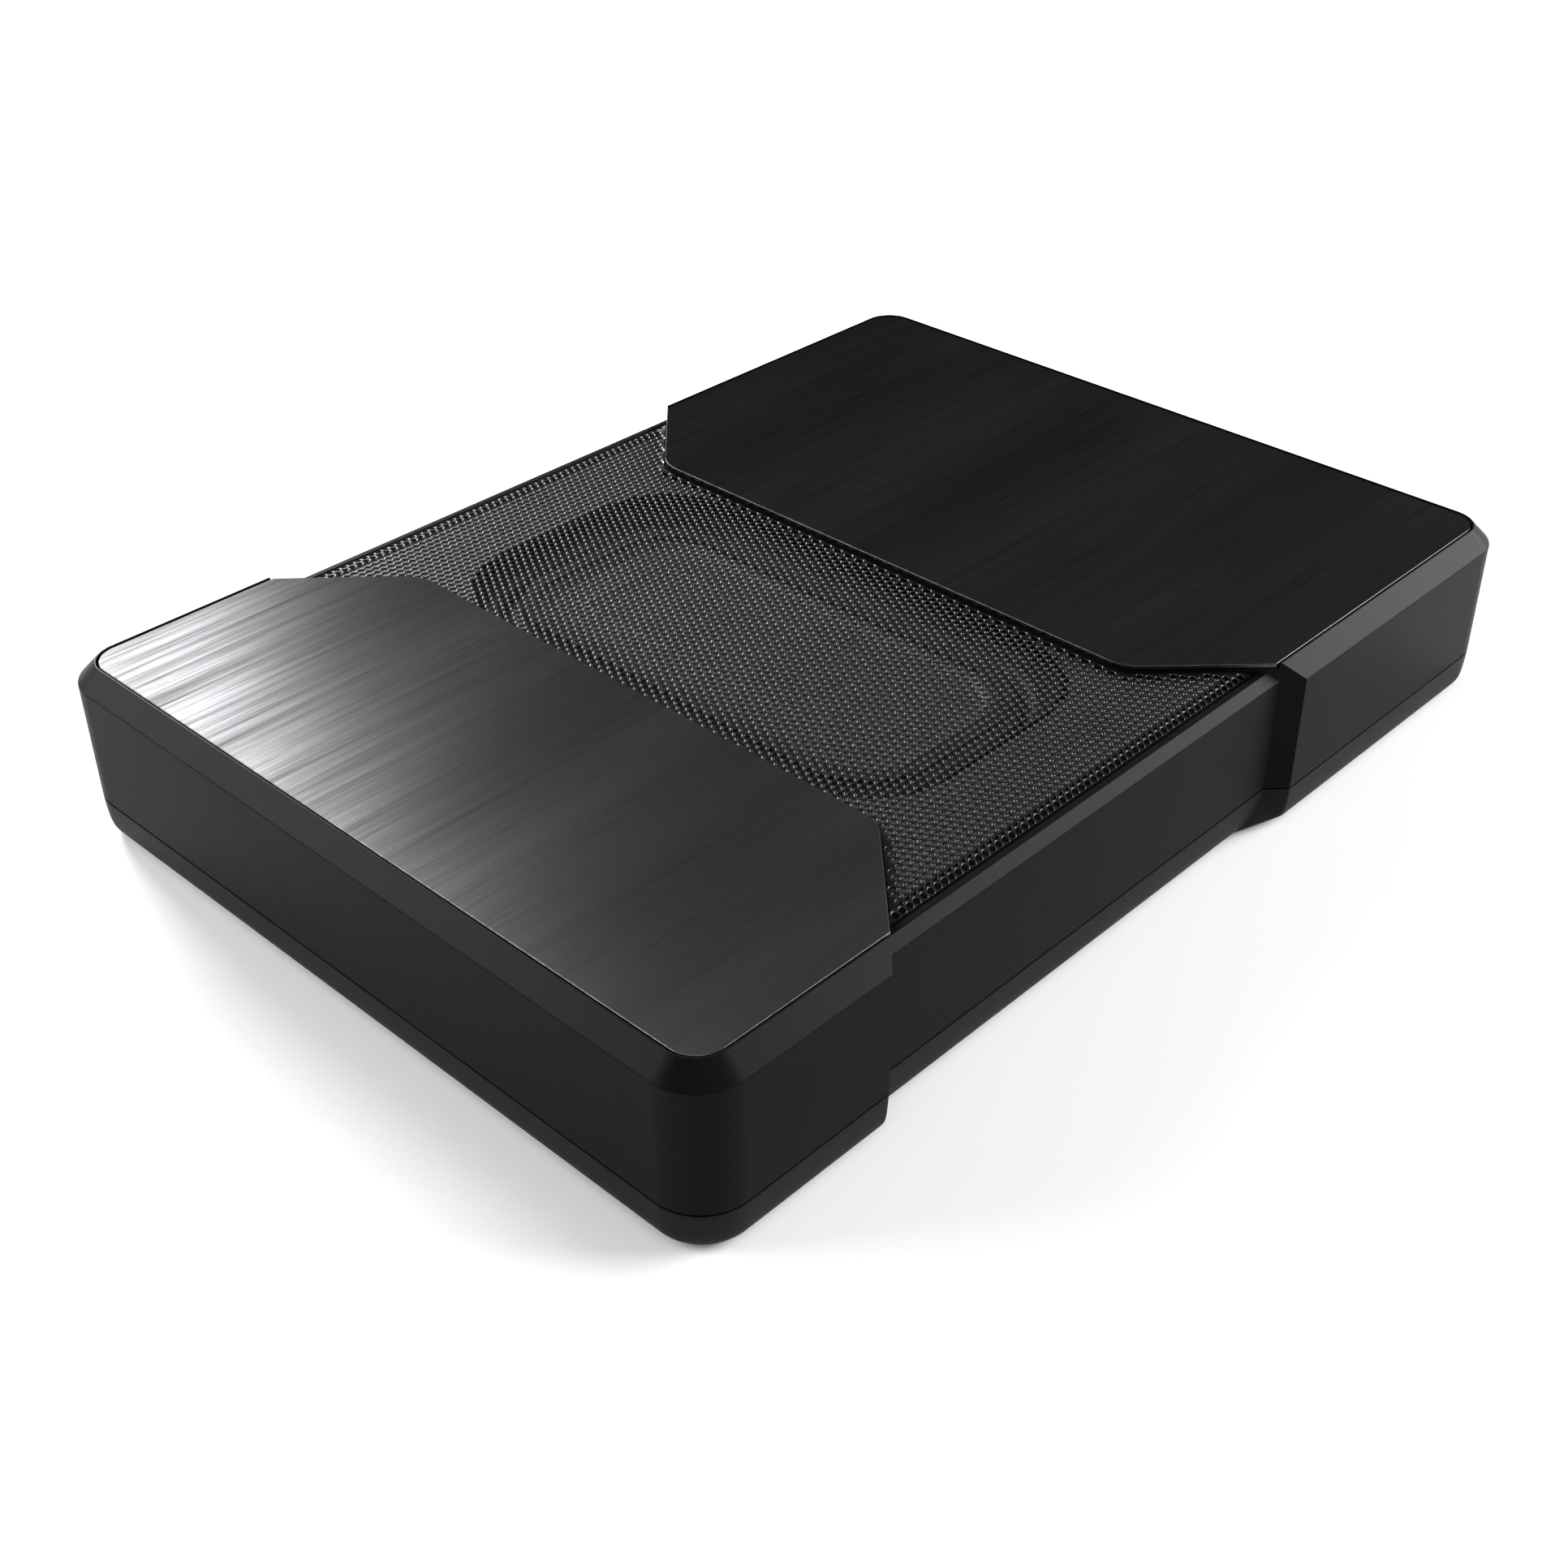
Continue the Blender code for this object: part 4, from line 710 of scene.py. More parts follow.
def base_tray():
    levels = [(TRAY_BOTTOM, 3.1, 1.0), (1.75 * MM, 2.55, 0.98), (2.1 * MM, 1.95, 0.92),
              (2.7 * MM, 1.35, 0.82), (3.7 * MM, 0.85, 0.62), (5 * MM, 0.55, 0.42),
              (6.6 * MM, 0.35, 0.25), (8.5 * MM, 0.2, 0.1), (10.5 * MM, 0.08, 0.02),
              (TRAY_TOP, 0.0, 0.0)]
    rings = [(rounded(inset_corners(casing_corners(FLARE * share), inset * MM)), height)
             for height, inset, share in levels]
    tray = loft("tray_shell", rings)
    lip_out = inset_corners(casing_corners(), WALL + GAP)
    lip_in = inset_corners(casing_corners(), WALL + GAP + 2 * MM)
    weld_on(tray, prism("lip", rounded(lip_out, 8), 10 * MM, LIP_TOP))
    carve(tray, prism("tray_inside", rounded(lip_in, 8), TRAY_FLOOR, 40 * MM))
    notch_y = BAY_HALF_Y + BAY_WALL + GAP
    carve(tray, box("notch", (PANEL_X - 10 * MM, -notch_y, BAY_LOW - BAY_WALL - GAP),
                    (HALF_X + 5 * MM, notch_y, 40 * MM)))
    screw_well = in_mm((0, 6), (1.8, 6), (1.8, 3.4), (3.3, 3.4), (3.5, 0), (0, 0))
    for number in range(1, 7):
        _, _, centre = extent(f"housing_screw_{number}")
        carve(tray, lathe(f"screw_well_{number}", screw_well, (centre.x, centre.y, 0), steps=32))
    for number in range(1, 5):
        _, high, centre = extent(f"rubber_foot_{number}")
        top, radius = high.z + GAP, 8.3 * MM
        foot_well = [(0, top), (radius, top), (radius, 0), (0, 0)]
        carve(tray, lathe(f"foot_well_{number}", foot_well, (centre.x, centre.y, 0), steps=40))
    peg = in_mm((0, 11.8), (1.2, 11.8), (1.4, 11.4), (1.4, 8.7), (3, 8.7), (3, 3.6), (0, 3.6))
    for x in (70, 140):
        for y in (-94, 94):
            weld_on(tray, lathe(f"peg_{x}_{y}", peg, (x * MM, y * MM, 0), steps=24))
    carve(tray, *underside_grooves())
    dress(tray, 0.1 * MM, clean=True)
    place(tray, TRAY, nodes=["base_tray"])


def underside_grooves():
    """Shallow moulded channels that frame the flat fixing area under the tray."""
    grooves = []
    for number, (half_x, half_y) in enumerate(((112, 66), (118, 72))):
        outer = rounded(rectangle(half_x * MM, half_y * MM, 8 * MM), 8)
        inner = rounded(rectangle((half_x - 1.6) * MM, (half_y - 1.6) * MM, 6.4 * MM), 8)
        low, high = 1.2 * MM, 2.1 * MM
        grooves.append(loft(f"groove_{number}", [(outer, low), (outer, high), (inner, high),
                                                 (inner, low)], closed=True))
    return grooves


def top_plate(name, corners, skin, node):
    edge = inset_corners(corners, block_insets(PLATE_INSET, 0))
    edge = [(x, y, r or 0.6 * MM) for x, y, r in edge]
    plate = stepped(name, edge, cap_profile(PLATE_LOW, PLATE_TOP, 0.15 * MM, 0.3 * MM), 20)
    layer = plate.data.uv_layers.new(name="grain")
    for loop in plate.data.loops:
        spot = plate.data.vertices[loop.vertex_index].co
        layer.data[loop.index].uv = (spot.y * 4, -spot.x * 4)
    shade(plate, 50)
    place(plate, skin, nodes=[node])


def rubber_feet():
    for number in range(1, 5):
        _, high, centre = extent(f"rubber_foot_{number}")
        top = high.z / MM
        profile = in_mm((0, top), (7.9, top), (8, top - 0.1), (8, 0.5), (7.85, 0.15), (7.5, 0),
                        (6.2, 0), (6, 0.35), (5.4, 0.35), (5.2, 0), (3.4, 0), (3.2, 0.35),
                        (2.6, 0.35), (2.4, 0), (0, 0))
        foot = lathe(f"foot_pad_{number}", profile, (centre.x, centre.y, 0), steps=56)
        shade(foot, 40)
        place(foot, FOOT_RUBBER, nodes=[f"rubber_foot_{number}"])


def cross_recess(name, x, y, low):
    """Cutters for a cross-head screw's drive, opening downwards."""
    reach, width = 1.55 * MM, 0.42 * MM
    bottom, top = low - MM, low + 0.9 * MM
    return [box(name + label, (x - half_x, y - half_y, bottom), (x + half_x, y + half_y, top))
            for label, half_x, half_y in (("_a", reach, width), ("_b", width, reach))]


def screws():
    """Screws with a ribbed thread and a domed cross head, heads down."""
    names = [f"housing_screw_{n}" for n in range(1, 7)] + [f"driver_screw_{n}" for n in range(1, 5)]
    for name in names:
        low, high, centre = extent(name)
        length = (high.z - low.z) / MM
        profile = [(0, length), (1, length)]
        height = length - 0.9
        while height > 2.2:
            profile += [(1.5, height), (1.26, height - 0.35)]
            height -= 0.7
        profile += [(1.45, 1.4), (2.8, 1.4), (3, 1.2), (3, 0.45), (2.6, 0.08), (2.2, 0), (0, 0)]
        screw = lathe(name + "_threaded", in_mm(*profile), (centre.x, centre.y, low.z), steps=32)
        carve(screw, *cross_recess(name, centre.x, centre.y, low.z))
        settle(screw)
        shade(screw, 35)
        place(screw, ZINC, nodes=[name])


# ---------------------------------------------------------------- grille mesh

PITCH = 2.5 * MM
ROW = 2.158 * MM
HOLE = 0.9 * MM
WEB_ROUNDING = 0.22 * MM


def sag(y):
    """How far the mesh's bent front and back edges fall below its flat top."""
    share = max(0.0, (abs(y) - MESH_FLAT_HALF_Y) / (MESH_EDGE_HALF_Y - MESH_FLAT_HALF_Y))
    return MESH_EDGE_DROP * min(1.0, share)


def nearest_on_outline(point, starts, ends):
    """The outline's closest spot to a point, and how far off it is."""
    along = ends - starts
    share = np.clip(((point - starts) * along).sum(1) / (along * along).sum(1), 0, 1)
    spots = starts + along * share[:, None]
    gaps = np.linalg.norm(spots - point, axis=1)
    best = int(gaps.argmin())
    return spots[best], float(gaps[best])


def inside_outline(point, starts, ends):
    """Whether a line along +X from the point crosses the outline an odd number of times."""
    x, y = point
    crosses = (starts[:, 1] > y) != (ends[:, 1] > y)
    rise = ends[:, 1] - starts[:, 1]
    rise[rise == 0] = 1e-12
    at = starts[:, 0] + (y - starts[:, 1]) / rise * (ends[:, 0] - starts[:, 0])
    return bool((crosses & (x < at)).sum() % 2)


class Lattice:
    """Perforated sheet: staggered six-sided holes, with webs that slope down into them."""

    def __init__(self, outline):
        points = np.array([(p[0], p[1]) for p in outline])
        self.starts, self.ends = points, np.roll(points, -1, axis=0)
        self.verts, self.faces, self.known = [], [], {}

    def vert(self, x, y, sink, key):
        if key in self.known:
            return self.known[key]
        spot = np.array((x, y))
        if not inside_outline(spot, self.starts, self.ends):
            spot, _ = nearest_on_outline(spot, self.starts, self.ends)
        self.known[key] = len(self.verts)
        self.verts.append((spot[0], spot[1], MESH_TOP - sag(spot[1]) - sink))
        return self.known[key]

    def cell(self, cx, cy):
        centre = np.array((cx, cy))
        _, gap = nearest_on_outline(centre, self.starts, self.ends)
        within = inside_outline(centre, self.starts, self.ends)
        if not within and gap > 0.9 * MM:
            return
        open_cell = within and gap > HOLE + 0.2 * MM
        rims, holes = [], []
        for k in range(6):
            angle = math.pi / 6 + k * math.pi / 3
            reach = PITCH / math.sqrt(3)
            x, y = cx + reach * math.cos(angle), cy + reach * math.sin(angle)
            spot_key = (round(x / MM * 20), round(y / MM * 20))
            rims.append([self.vert(x, y, 0, (spot_key, "top")),
                         self.vert(x, y, MESH_THICKNESS, (spot_key, "low"))])
            if open_cell:
                reach = HOLE * 1.12
                x, y = cx + reach * math.cos(angle), cy + reach * math.sin(angle)
                hole_key = (round(cx / MM * 20), round(cy / MM * 20), k)
                holes.append([self.vert(x, y, WEB_ROUNDING, (hole_key, "top")),
                              self.vert(x, y, MESH_THICKNESS, (hole_key, "low"))])
        if not open_cell:
            self.faces.append(tuple(r[0] for r in rims))
            self.faces.append(tuple(r[1] for r in reversed(rims)))
            return
        for k in range(6):
            a, b = k - 1, k
            self.faces.append((rims[a][0], rims[b][0], holes[b][0], holes[a][0]))
            self.faces.append((holes[a][0], holes[b][0], holes[b][1], holes[a][1]))
            self.faces.append((holes[a][1], holes[b][1], rims[b][1], rims[a][1]))

    def mesh(self, name):
        shape = bmesh.new()
        verts = [shape.verts.new(v) for v in self.verts]
        for face in self.faces:
            try:
                shape.faces.new([verts[i] for i in face])
            except ValueError:
                continue
        bmesh.ops.remove_doubles(shape, verts=shape.verts, dist=0.01 * MM)
        bmesh.ops.dissolve_degenerate(shape, edges=shape.edges, dist=0.01 * MM)
        rim = [edge for edge in shape.edges if len(edge.link_faces) == 1]
        tops = {}
        for edge in rim:
            high = all(v.co.z > MESH_TOP - sag(v.co.y) - 0.4 * MM for v in edge.verts)
            key = tuple(sorted((round(v.co.x, 6), round(v.co.y, 6)) for v in edge.verts))
            tops.setdefault(key, {})["top" if high else "low"] = edge
        for pair in tops.values():
            if len(pair) == 2:
                first, last = pair["top"].verts[:], pair["low"].verts[:]
                if (first[0].co.xy - last[0].co.xy).length > (first[0].co.xy - last[1].co.xy).length:
                    last.reverse()
                shape.faces.new((first[0], first[1], last[1], last[0]))
        return from_bmesh(name, shape)


def grille_mesh():
    edge = 0.4 * MM
    corners = inset_corners(mesh_bay_corners(MESH_EDGE_HALF_Y), [0, edge, edge, edge] * 2)
    lattice = Lattice(rounded(corners, 12))
    rows = int(MESH_EDGE_HALF_Y / ROW) + 1
    columns = int(HALF_X / PITCH)
    for row in range(-rows, rows + 1):
        for column in range(-columns, columns):
            lattice.cell(column * PITCH + (row % 2) * PITCH / 2, row * ROW)
    mesh = lattice.mesh("perforated_mesh")
    mesh.data.shade_smooth()
    mesh.data.set_sharp_from_angle(angle=math.radians(65))
    place(mesh, MESH_COAT, nodes=["grille_mesh"])


# ---------------------------------------------------------------- driver


def surround():
    """Half roll that dips between its bonded lips."""
    roll, skin, middle, level = 4.4 * MM, 0.8 * MM, 6 * MM, FLANGE_TOP + GAP
    steps = 16
    upper, lower = [], []
    for step in range(steps + 1):
        angle = math.pi * (1 + step / steps)
        out, down = math.cos(angle), math.sin(angle)
        upper.append((middle + (roll - skin) * out, level + skin + (roll - skin) * down))
        lower.append((middle + roll * out, level + roll * down))
    profile = [(-1.9 * MM, level + skin)] + upper + [(15.5 * MM, level + skin),
                                                     (15.6 * MM, level + skin - 0.1 * MM),
                                                     (15.6 * MM, level)]
    profile += list(reversed(lower)) + [(-2 * MM, level), (-2 * MM, level + skin - 0.1 * MM)]
    rings = []
    for outset, height in profile:
        corners = rectangle(CONE[0] / 2 + outset, CONE[1] / 2 + outset, CONE_RADIUS + outset,
                            (DRIVER_X, 0))
        rings.append((rounded(corners, 18), height))
    ring = loft("surround_roll", rings, closed=True)
    shade(ring, 50)
    paint(ring, RUBBER)
    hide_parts("surround")
    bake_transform(ring)


def diaphragm():
    """Flat rounded cone with a pressed stiffening ring and a shallow dished centre."""
    corners = rectangle(CONE[0] / 2, CONE[1] / 2, CONE_RADIUS, (DRIVER_X, 0))
    drops = in_mm((0.3, 3), (0, 2.7), (0, 0.5), (0.15, 0.15), (0.5, 0), (4.2, 0), (4.9, 0.35),
                  (5.6, 0.9), (6.6, 1.1), (15, 1.1), (15.8, 0.9), (16.4, 0.75), (17.4, 0.75),
                  (18, 0.9), (18.8, 1.1))
    plate = stepped("cone_plate", corners, [(inset, CONE_TOP - fall) for inset, fall in drops], 18)
    shade(plate, 50)
    place(plate, CONE_SKIN, "cone", ["diaphragm"])


def spider_disc():
    inner, outer = 18.8 * MM, 32 * MM
    middle, wave, skin = 27.5 * MM, 1.1 * MM, 0.6 * MM
    steps = 40
    top = []
    for step in range(steps + 1):
        share = step / steps
        top.append((inner + (outer - inner) * share, middle + wave * math.sin(share * 2 * math.tau)))
    under = [(radius, height - skin) for radius, height in reversed(top)]
    disc = lathe("spider_disc", top + under, (DRIVER_X, 0, 0), steps=72, closed=True)
    shade(disc, 50)
    paint(disc, CLOTH)
    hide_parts("spider")
    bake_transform(disc)


def coil():
    """The winding, one rounded turn above another."""
    low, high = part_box("voice_coil")
    radius = (high.x - low.x) / 2
    inner, groove = radius - 0.9 * MM, radius - 0.12 * MM
    turns = 22
    step = (high.z - low.z) / turns
    profile = [(inner, high.z - 0.02 * MM)]
    for turn in range(turns):
        top = high.z - turn * step
        profile += [(groove, top - 0.05 * MM), (radius, top - step / 2)]
    profile += [(groove, low.z + 0.02 * MM), (inner, low.z + 0.02 * MM)]
    winding = lathe("coil_winding", profile, (DRIVER_X, 0, 0), steps=72, closed=True)
    shade(winding, 60)
    place(winding, COPPER, "cone", ["voice_coil"])


# ---------------------------------------------------------------- amplifier

def wound_choke():
    """Ring core under a spiral of enamelled wire."""
    _, _, centre = extent("power_choke")
    core_radius, section, wire, pack, turns = 13 * MM, 4.1 * MM, 0.8 * MM, 5.1 * MM, 34
    angles = [math.tau * i / 20 for i in range(20)]
    core = lathe("choke_core", [(core_radius + section * math.cos(a), section * math.sin(a))
                                for a in angles], centre, steps=48, closed=True)
    shade(core, 60)
    place(core, FERRITE, nodes=["power_choke"])
    curve = bpy.data.curves.new("choke_winding", "CURVE")
    curve.dimensions = "3D"
    curve.bevel_depth = wire
    curve.bevel_resolution = 2
    curve.use_fill_caps = True
    spline = curve.splines.new("POLY")
    points_per_turn, wound_share = 14, 0.94
    count = turns * points_per_turn
    spline.points.add(count)
    for index in range(count + 1):
        share = index / count
        ring, turn = share * math.tau * wound_share, share * turns * math.tau
        reach = core_radius + pack * math.cos(turn)
        spline.points[index].co = (centre.x + reach * math.cos(ring), centre.y + reach * math.sin(ring),
                                   centre.z + pack * math.sin(turn), 1)
    holder = new_object("choke_winding_path", curve)
    graph = bpy.context.evaluated_depsgraph_get()
    mesh = bpy.data.meshes.new_from_object(holder.evaluated_get(graph))
    bpy.data.objects.remove(holder, do_unlink=True)
    mesh.shade_smooth()
    place(new_object("choke_winding", mesh), COPPER)


def capacitors():
    """Sleeved cans with a crimped foot and a recessed top."""
    for number in range(1, 4):
        low, high, centre = extent(f"reservoir_capacitor_{number}")
        tall, radius = (high.z - low.z) / MM, (high.x - low.x) / 2 / MM
        profile = in_mm((0, tall - 0.5), (radius - 2.2, tall - 0.5), (radius - 1.9, tall - 0.1),
                        (radius - 1, tall), (radius - 0.3, tall - 0.3), (radius, tall - 1),
                        (radius, 4.2), (radius - 0.45, 3.7), (radius - 0.7, 3.2),
                        (radius - 0.45, 2.7), (radius, 2.2), (radius, 0.4), (radius - 0.4, 0),
                        (0, 0))
        can = lathe(f"capacitor_can_{number}", profile, (centre.x, centre.y, low.z), steps=48)
        shade(can, 40)
        place(can, PART_PLASTIC, nodes=[f"reservoir_capacitor_{number}"])


# ---------------------------------------------------------------- connector panel

SOCKETS = {"power_socket": (4, 2, 1.0), "speaker_input_socket": (3, 2, 0.8), "remote_socket": (4, 1, 0.6)}


def sockets():
    """Keyed plug sockets with square contact pins."""
    wall, depth = 1.6 * MM, 11 * MM
    for name, (columns, rows, pin) in SOCKETS.items():
        low, high, centre = extent(name)
        y, z = centre.y, centre.z
        half_y, half_z = (high.y - low.y) / 2, (high.z - low.z) / 2
        corners = rectangle(half_y, half_z, 0.9 * MM, (y, z))
        shell = prism_along_x(name + "_shell", rounded(corners, 5), low.x, high.x)
        hollow = rounded(inset_corners(corners, wall), 4)
        key = box(name + "_key", (high.x - 6 * MM, y - 1.5 * MM, z + half_z - wall - 0.1 * MM),
                  (high.x + MM, y + 1.5 * MM, z + half_z - wall + 0.8 * MM))
        carve(shell, prism_along_x(name + "_hollow", hollow, high.x - depth, high.x + MM), key)
        dress(shell, 0.18 * MM)
        place(shell, PART_PLASTIC, nodes=[name])
        pins = []
        half = pin / 2 * MM
        back, front = high.x - depth - 0.9 * MM, high.x - depth + 5 * MM
        for column in range(columns):
            for row in range(rows):
                pin_y = y + (column - (columns - 1) / 2) * (2 * half_y - 6 * MM) / columns
                pin_z = z + (row - (rows - 1) / 2) * 4.2 * MM
                pins.append(bar(f"{name}_pin_{column}_{row}", back, front, (pin_y, pin_z), half, half,
                                0.15 * MM))
        place(joined(name + "_pins", pins), TIN)


def rca_jacks():
    """Gold shell with a round flange, coloured insulator and tubular centre contact."""
    barrel, bore, mouth, gap = 4.1, 1.7, 3.55, GAP / MM
    for name, insert in (("rca_jack_left", WHITE_INSERT), ("rca_jack_right", RED_INSERT)):
        low, high, centre = extent(name)
        tip, back = (high.x - PANEL_X) / MM, (low.x - PANEL_X) / MM
        shell = [(mouth, -2), (mouth, tip - 0.25), (3.7, tip), (3.9, tip), (barrel, tip - 0.3),
                 (barrel, 4.6), (barrel - 0.15, 4.4), (barrel - 0.15, 4), (barrel, 3.8),
                 (barrel, 1.6), (5.6, 1.5), (6, 1.2), (6, 0.5), (5.8, gap), (barrel, gap),
                 (barrel, back), (mouth, back)]
        insulator = [(bore + 0.55, tip - 2.2), (3.2, tip - 2.2), (3.45, tip - 2.45),
                     (3.45, back + 1), (bore + 0.55, back + 1)]
        contact = [(bore, tip - 2.35), (bore + 0.4, tip - 2.35), (bore + 0.4, back + 2),
                   (bore, back + 2)]
        for label, profile, steps, skin, slot, nodes in (
                ("_shell", shell, 56, GOLD, "gold_contact", [name]),
                ("_insulator", insulator, 48, insert, "component_plastic", []),
                ("_contact", contact, 32, GOLD, "gold_contact", [])):
            item = lathe(name + label, in_mm(*profile), (PANEL_X, centre.y, BAY_Z), "X", steps, True)
            shade(item, 35)
            place(item, skin, nodes=nodes)


def fuse_and_holder():
    low, high, centre = extent("fuse_holder")
    y = centre.y
    corners = rectangle((high.y - low.y) / 2, (high.z - low.z) / 2, 0.8 * MM, (y, BAY_Z))
    holder = prism_along_x("fuse_holder_shell", rounded(corners, 5), low.x, high.x)
    carve(holder, bar("fuse_slot", low.x + 1.5 * MM, high.x + MM, (y, BAY_Z), 2.1 * MM, 5.8 * MM))
    dress(holder, 0.2 * MM)
    place(holder, PART_PLASTIC, nodes=["fuse_holder"])
    low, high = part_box("blade_fuse")
    body_back = PANEL_X - 2.5 * MM
    body = bar("fuse_body", body_back, high.x - 0.9 * MM, (y, BAY_Z), 1.8 * MM, 5.4 * MM, 0.35 * MM, 3)
    weld_on(body, bar("fuse_cap", high.x - 3 * MM, high.x, (y, BAY_Z), 1.75 * MM, 4.6 * MM, 0.4 * MM, 3))
    blades = []
    for side in (-1, 1):
        carve(body, bar(f"fuse_window_{side}", high.x - 4.4 * MM, high.x - 1.6 * MM,
                        (y + side * 1.45 * MM, BAY_Z), 0.5 * MM, 2.4 * MM))
        blades.append(bar(f"fuse_blade_{side}", low.x, body_back + 0.4 * MM,
                          (y, BAY_Z + side * 3.7 * MM), 0.4 * MM, 1.3 * MM, 0.12 * MM))
    settle(body)
    shade(body, 30)
    place(body, AMBER, "fuse", ["blade_fuse"])
    place(joined("fuse_blades", blades), TIN, "fuse")


def knobs():
    """Fluted knobs with a dished face and a white pointer."""
    radius, front, flutes, count = 5.6, 7.2, 20, 160
    levels = [(height, radius - tuck, 0.32 * (1 - tuck)) for height, tuck in (
        (0.6, 0.25), (0.85, 0), (front - 1.1, 0), (front - 0.45, 0.16), (front - 0.1, 0.5),
        (front, 0.95))]
    levels += [(front, 3.9, 0), (front - 0.25, 3.5, 0)]
    shaft_profile = in_mm((0, 0.9), (1.5, 0.9), (1.5, -8.3), (1.3, -8.5), (0, -8.5))
    for node, body in (("gain_knob", "gain_control"), ("crossover_knob", "crossover_control")):
        y = extent(node)[2].y
        shape = bmesh.new()
        rings = []
        for height, reach, depth in levels:
            ring = []
            for index in range(count):
                angle = math.tau * index / count
                out = (reach - depth * max(0.0, math.cos(angle * flutes)) ** 2) * MM
                ring.append(shape.verts.new((PANEL_X + height * MM, y + out * math.cos(angle),
                                             BAY_Z + out * math.sin(angle))))
            rings.append(ring)
        bridge(shape, rings)
        cap = from_bmesh(node + "_cap", shape)
        weld_on(cap, lathe(node + "_shaft", shaft_profile, (PANEL_X, y, BAY_Z), "X", 32))
        settle(cap)
        shade(cap, 40)
        place(cap, PART_PLASTIC, body, [node])
        face = PANEL_X + front * MM
        pointer = box(node + "_pointer", (face - 0.35 * MM, y - 0.35 * MM, BAY_Z + 1.2 * MM),
                      (face + 0.02 * MM, y + 0.35 * MM, BAY_Z + 5 * MM), 0.1 * MM)
        place(pointer, PAD_PRINT, body)


def dial_marks():
    """Raised ticks on the panel round each knob."""
    ticks = []
    for node in ("gain_knob", "crossover_knob"):
        y = extent(node)[2].y
        for index in range(11):
            angle = math.radians(-135 + 27 * index)
            end = (7.7 if index in (0, 5, 10) else 7.2) * MM
            tick = box(f"tick_{node}_{index}", (PANEL_X + 0.01 * MM, -0.16 * MM, 6.5 * MM),
                       (PANEL_X + 0.1 * MM, 0.16 * MM, end))
            tick.data.transform(Matrix.Translation((0, y, BAY_Z)) @ Matrix.Rotation(angle, 4, "X"))
            ticks.append(tick)
    place(joined("dial_ticks", ticks), PAD_PRINT)


def phase_lever():
    low, high, centre = extent("phase_switch_lever")
    lever = box("phase_lever_cap", low, high, 0.2 * MM, 3)
    for index in range(3):
        groove = centre.z + (index - 1) * 0.9 * MM
        carve(lever, bar(f"grip_{index}", high.x - 0.25 * MM, high.x + MM, (centre.y, groove), 2 * MM,
                         0.15 * MM))
    settle(lever)
    shade(lever)
    place(lever, WHITE_INSERT, "phase_lever", ["phase_switch_lever"])


def lamp():
    low, _, centre = extent("power_led")
    radius, back, steps = 1.5 * MM, low.x - PANEL_X, 7
    profile = [(0, 1.6 * MM)]
    for step in range(1, steps + 1):
        angle = math.pi / 2 * step / steps
        profile.append((radius * math.sin(angle), 0.2 * MM + 1.4 * MM * math.cos(angle)))
    profile += [(radius, back + 0.2 * MM), (radius - 0.2 * MM, back), (0, back)]
    lens = lathe("lamp_dome", profile, (PANEL_X, centre.y, centre.z), "X", 40)
    shade(lens, 40)
    place(lens, LENS, nodes=["power_led"])


def panel_plate():
    """The recessed panel with its openings."""
    low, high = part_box("socket_panel")
    panel = box("socket_panel_plate", low, high)
    for name in [*SOCKETS, "fuse_holder"]:
        cut_low, cut_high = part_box(name)
        carve(panel, box(name + "_hole", (low.x - MM, cut_low.y - GAP, cut_low.z - GAP),
                         (high.x + MM, cut_high.y + GAP, cut_high.z + GAP)))
    y = extent("phase_switch_body")[2].y
    carve(panel, bar("switch_hole", low.x - MM, high.x + MM, (y, BAY_Z), 2.9 * MM, 1.9 * MM))
    for node, radius in (("rca_jack_left", 4.4), ("rca_jack_right", 4.4), ("gain_knob", 2.1),
                         ("crossover_knob", 2.1), ("power_led", 1.8)):
        _, _, centre = extent(node)
        cutter = in_mm((0, 2), (radius, 2), (radius, -5), (0, -5))
        carve(panel, lathe(node + "_hole", cutter, (PANEL_X, centre.y, centre.z), "X", 36))
    dress(panel, 0.15 * MM, clean=True)
    place(panel, TRAY, nodes=["socket_panel"])


# ---------------------------------------------------------------- carried-over nodes

def finish_nodes():
    """Gives every CAD solid its material, which shows on the ones no piece replaces."""
    skins = {
        "casing_plastic": CASING, "component_plastic": PART_PLASTIC, "stamped_steel": FRAME_PAINT,
        "rubber": RUBBER, "zinc_steel": ZINC, "ferrite": FERRITE, "bare_aluminium": ALUMINIUM,
        "circuit_board": BOARD, "wire_sleeve_red": RED_SLEEVE, "wire_sleeve_black": BLACK_SLEEVE,
        "gold_contact": GOLD, "copper_wire": COPPER, "spider_cloth": CLOTH, "tray_plastic": TRAY,
        "brushed_plate": NEAR_PLATE_PAINTED_LIGHTER, "black_mesh": MESH_COAT, "cone_fibre": CONE_SKIN,
        "fuse_plastic": AMBER, "led_lens": LENS,
    }
    for part in frame["record"]["subparts"]:
        node = frame["nodes"][part["node"]]
        for slot in node.material_slots:
            slot.material = skins[part["material_slot"]]
    # The grille frame gets the lighter copy of the casing plastic, which paints light onto the deck under
    # the mesh.
    frame["nodes"]["grille_frame"].material_slots[0].material = RING_PLASTIC_PAINTED_LIGHT


# ---------------------------------------------------------------- studio

def area_light(name, spot, aim, size, power):
    light = bpy.data.lights.new(name, "AREA")
    light.shape = "RECTANGLE"
    light.size, light.size_y = size
    light.energy = power
    item = new_object(name, light)
    item.location = spot
    item.rotation_euler = (Vector(aim) - Vector(spot)).to_track_quat("-Z", "Y").to_euler()


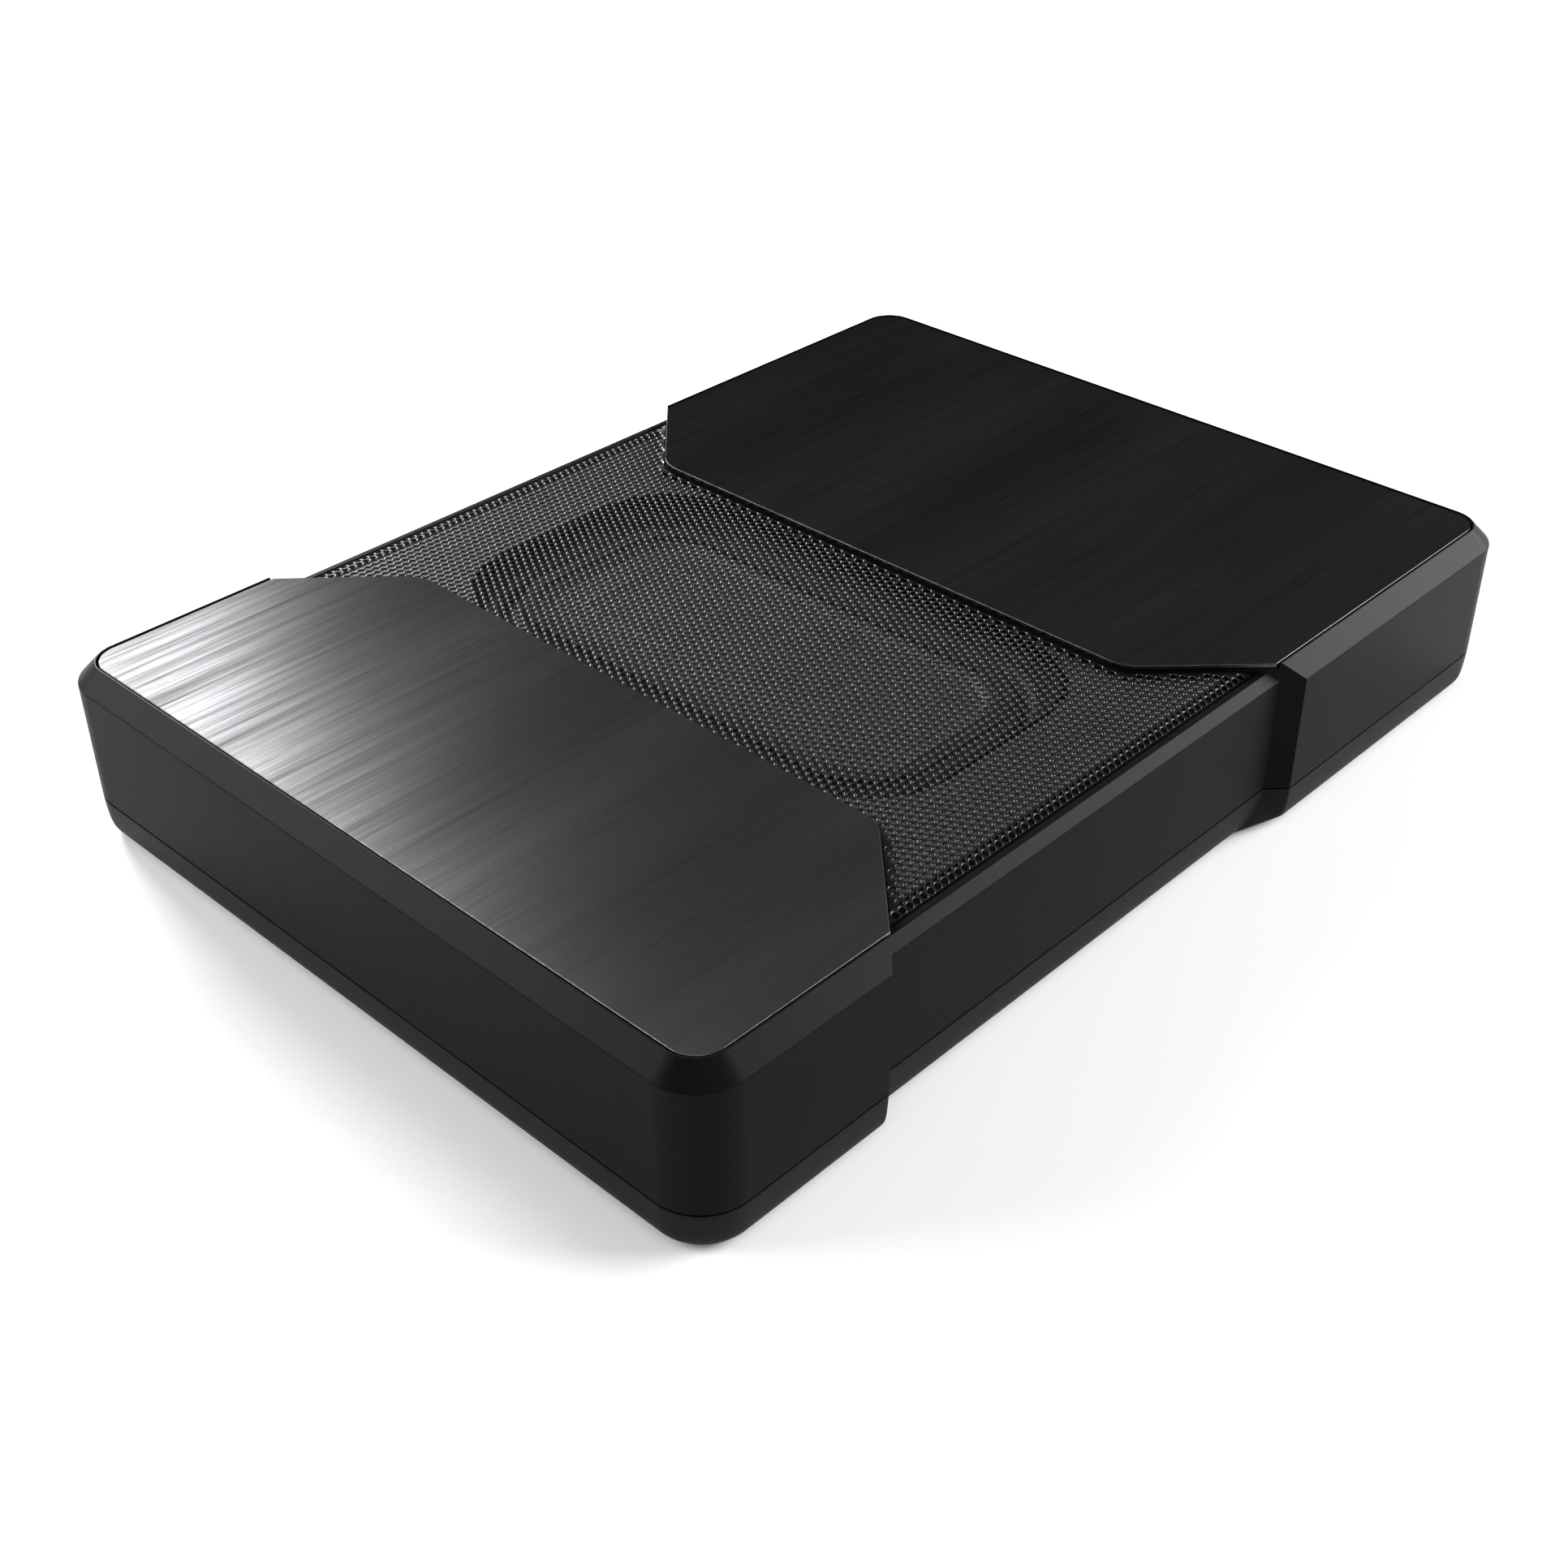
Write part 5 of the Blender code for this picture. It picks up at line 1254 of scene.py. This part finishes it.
def studio():
    scene = bpy.context.scene
    shape = bmesh.new()
    bmesh.ops.create_circle(shape, cap_ends=True, segments=96, radius=1.9)
    floor = from_bmesh("floor", shape)
    skin = Skin("floor_paint", (0.75, 0.75, 0.75), 0.9, Specular_IOR_Level=0.1)
    cloud = skin.noise(1.5, 2)
    skin.feed(Base_Color=skin.tint(cloud, (0.74, 0.74, 0.74), (0.76, 0.76, 0.76)))
    paint(floor, skin.material)
    world = bpy.data.worlds.new("studio")
    scene.world = world
    world.use_nodes = True
    tree = world.node_tree
    background = tree.nodes["Background"]
    background.inputs["Strength"].default_value = 1.0
    direction = tree.nodes.new("ShaderNodeTexCoord").outputs["Generated"]
    split = tree.nodes.new("ShaderNodeSeparateXYZ")
    ramp = tree.nodes.new("ShaderNodeValToRGB")
    tree.links.new(direction, split.inputs["Vector"])
    tree.links.new(split.outputs["Z"], ramp.inputs["Fac"])
    tree.links.new(ramp.outputs["Color"], background.inputs["Color"])
    stops = ramp.color_ramp.elements
    stops[0].position, stops[0].color = 0.0, (1, 1, 1, 1)
    stops[1].position, stops[1].color = 0.38, (0.13, 0.13, 0.13, 1)
    middle = stops.new(0.16)
    middle.color = (0.92, 0.92, 0.92, 1)
    area_light("back_softbox", (0.42, 2.0, 1.08), (-0.16, 0.1, 0.05), (0.8, 0.55), 96)
    area_light("left_softbox", (-1.35, 1.4, 0.95), (-0.17, 0, 0.05), (1.3, 0.8), 48)
    area_light("front_softbox", (1.75, -1.3, 0.9), (0, -0.12, 0.05), (1.7, 1.1), 124)
    area_light("top_softbox", (-0.7, -0.9, 2.6), (0, 0, 0), (2.4, 2.4), 29)
    scene.view_settings.view_transform = "Standard"
    scene.view_settings.look = "None"
    scene.view_settings.exposure = 0.0


def camera():
    data = bpy.data.cameras.new("camera")
    data.lens = 48.37
    data.sensor_width = 36
    data.clip_start, data.clip_end = 0.01, 50
    item = new_object("camera", data)
    item.location = (-0.3839, -0.3551, 0.3507)
    item.rotation_euler = [math.radians(a) for a in (55.07, 0.33, -46.35)]
    bpy.context.scene.camera = item


def main():
    finish_nodes()
    upper_casing()
    base_tray()
    top_plate("near_plate", NEAR_BLOCK, NEAR_PLATE_PAINTED_LIGHTER, "near_top_plate")
    top_plate("far_plate", FAR_BLOCK, FAR_PLATE_PAINTED_DARKER, "far_top_plate")
    rubber_feet()
    screws()
    grille_mesh()
    surround()
    diaphragm()
    spider_disc()
    coil()
    wound_choke()
    capacitors()
    panel_plate()
    sockets()
    rca_jacks()
    fuse_and_holder()
    knobs()
    dial_marks()
    phase_lever()
    lamp()
    studio()
    camera()


main()
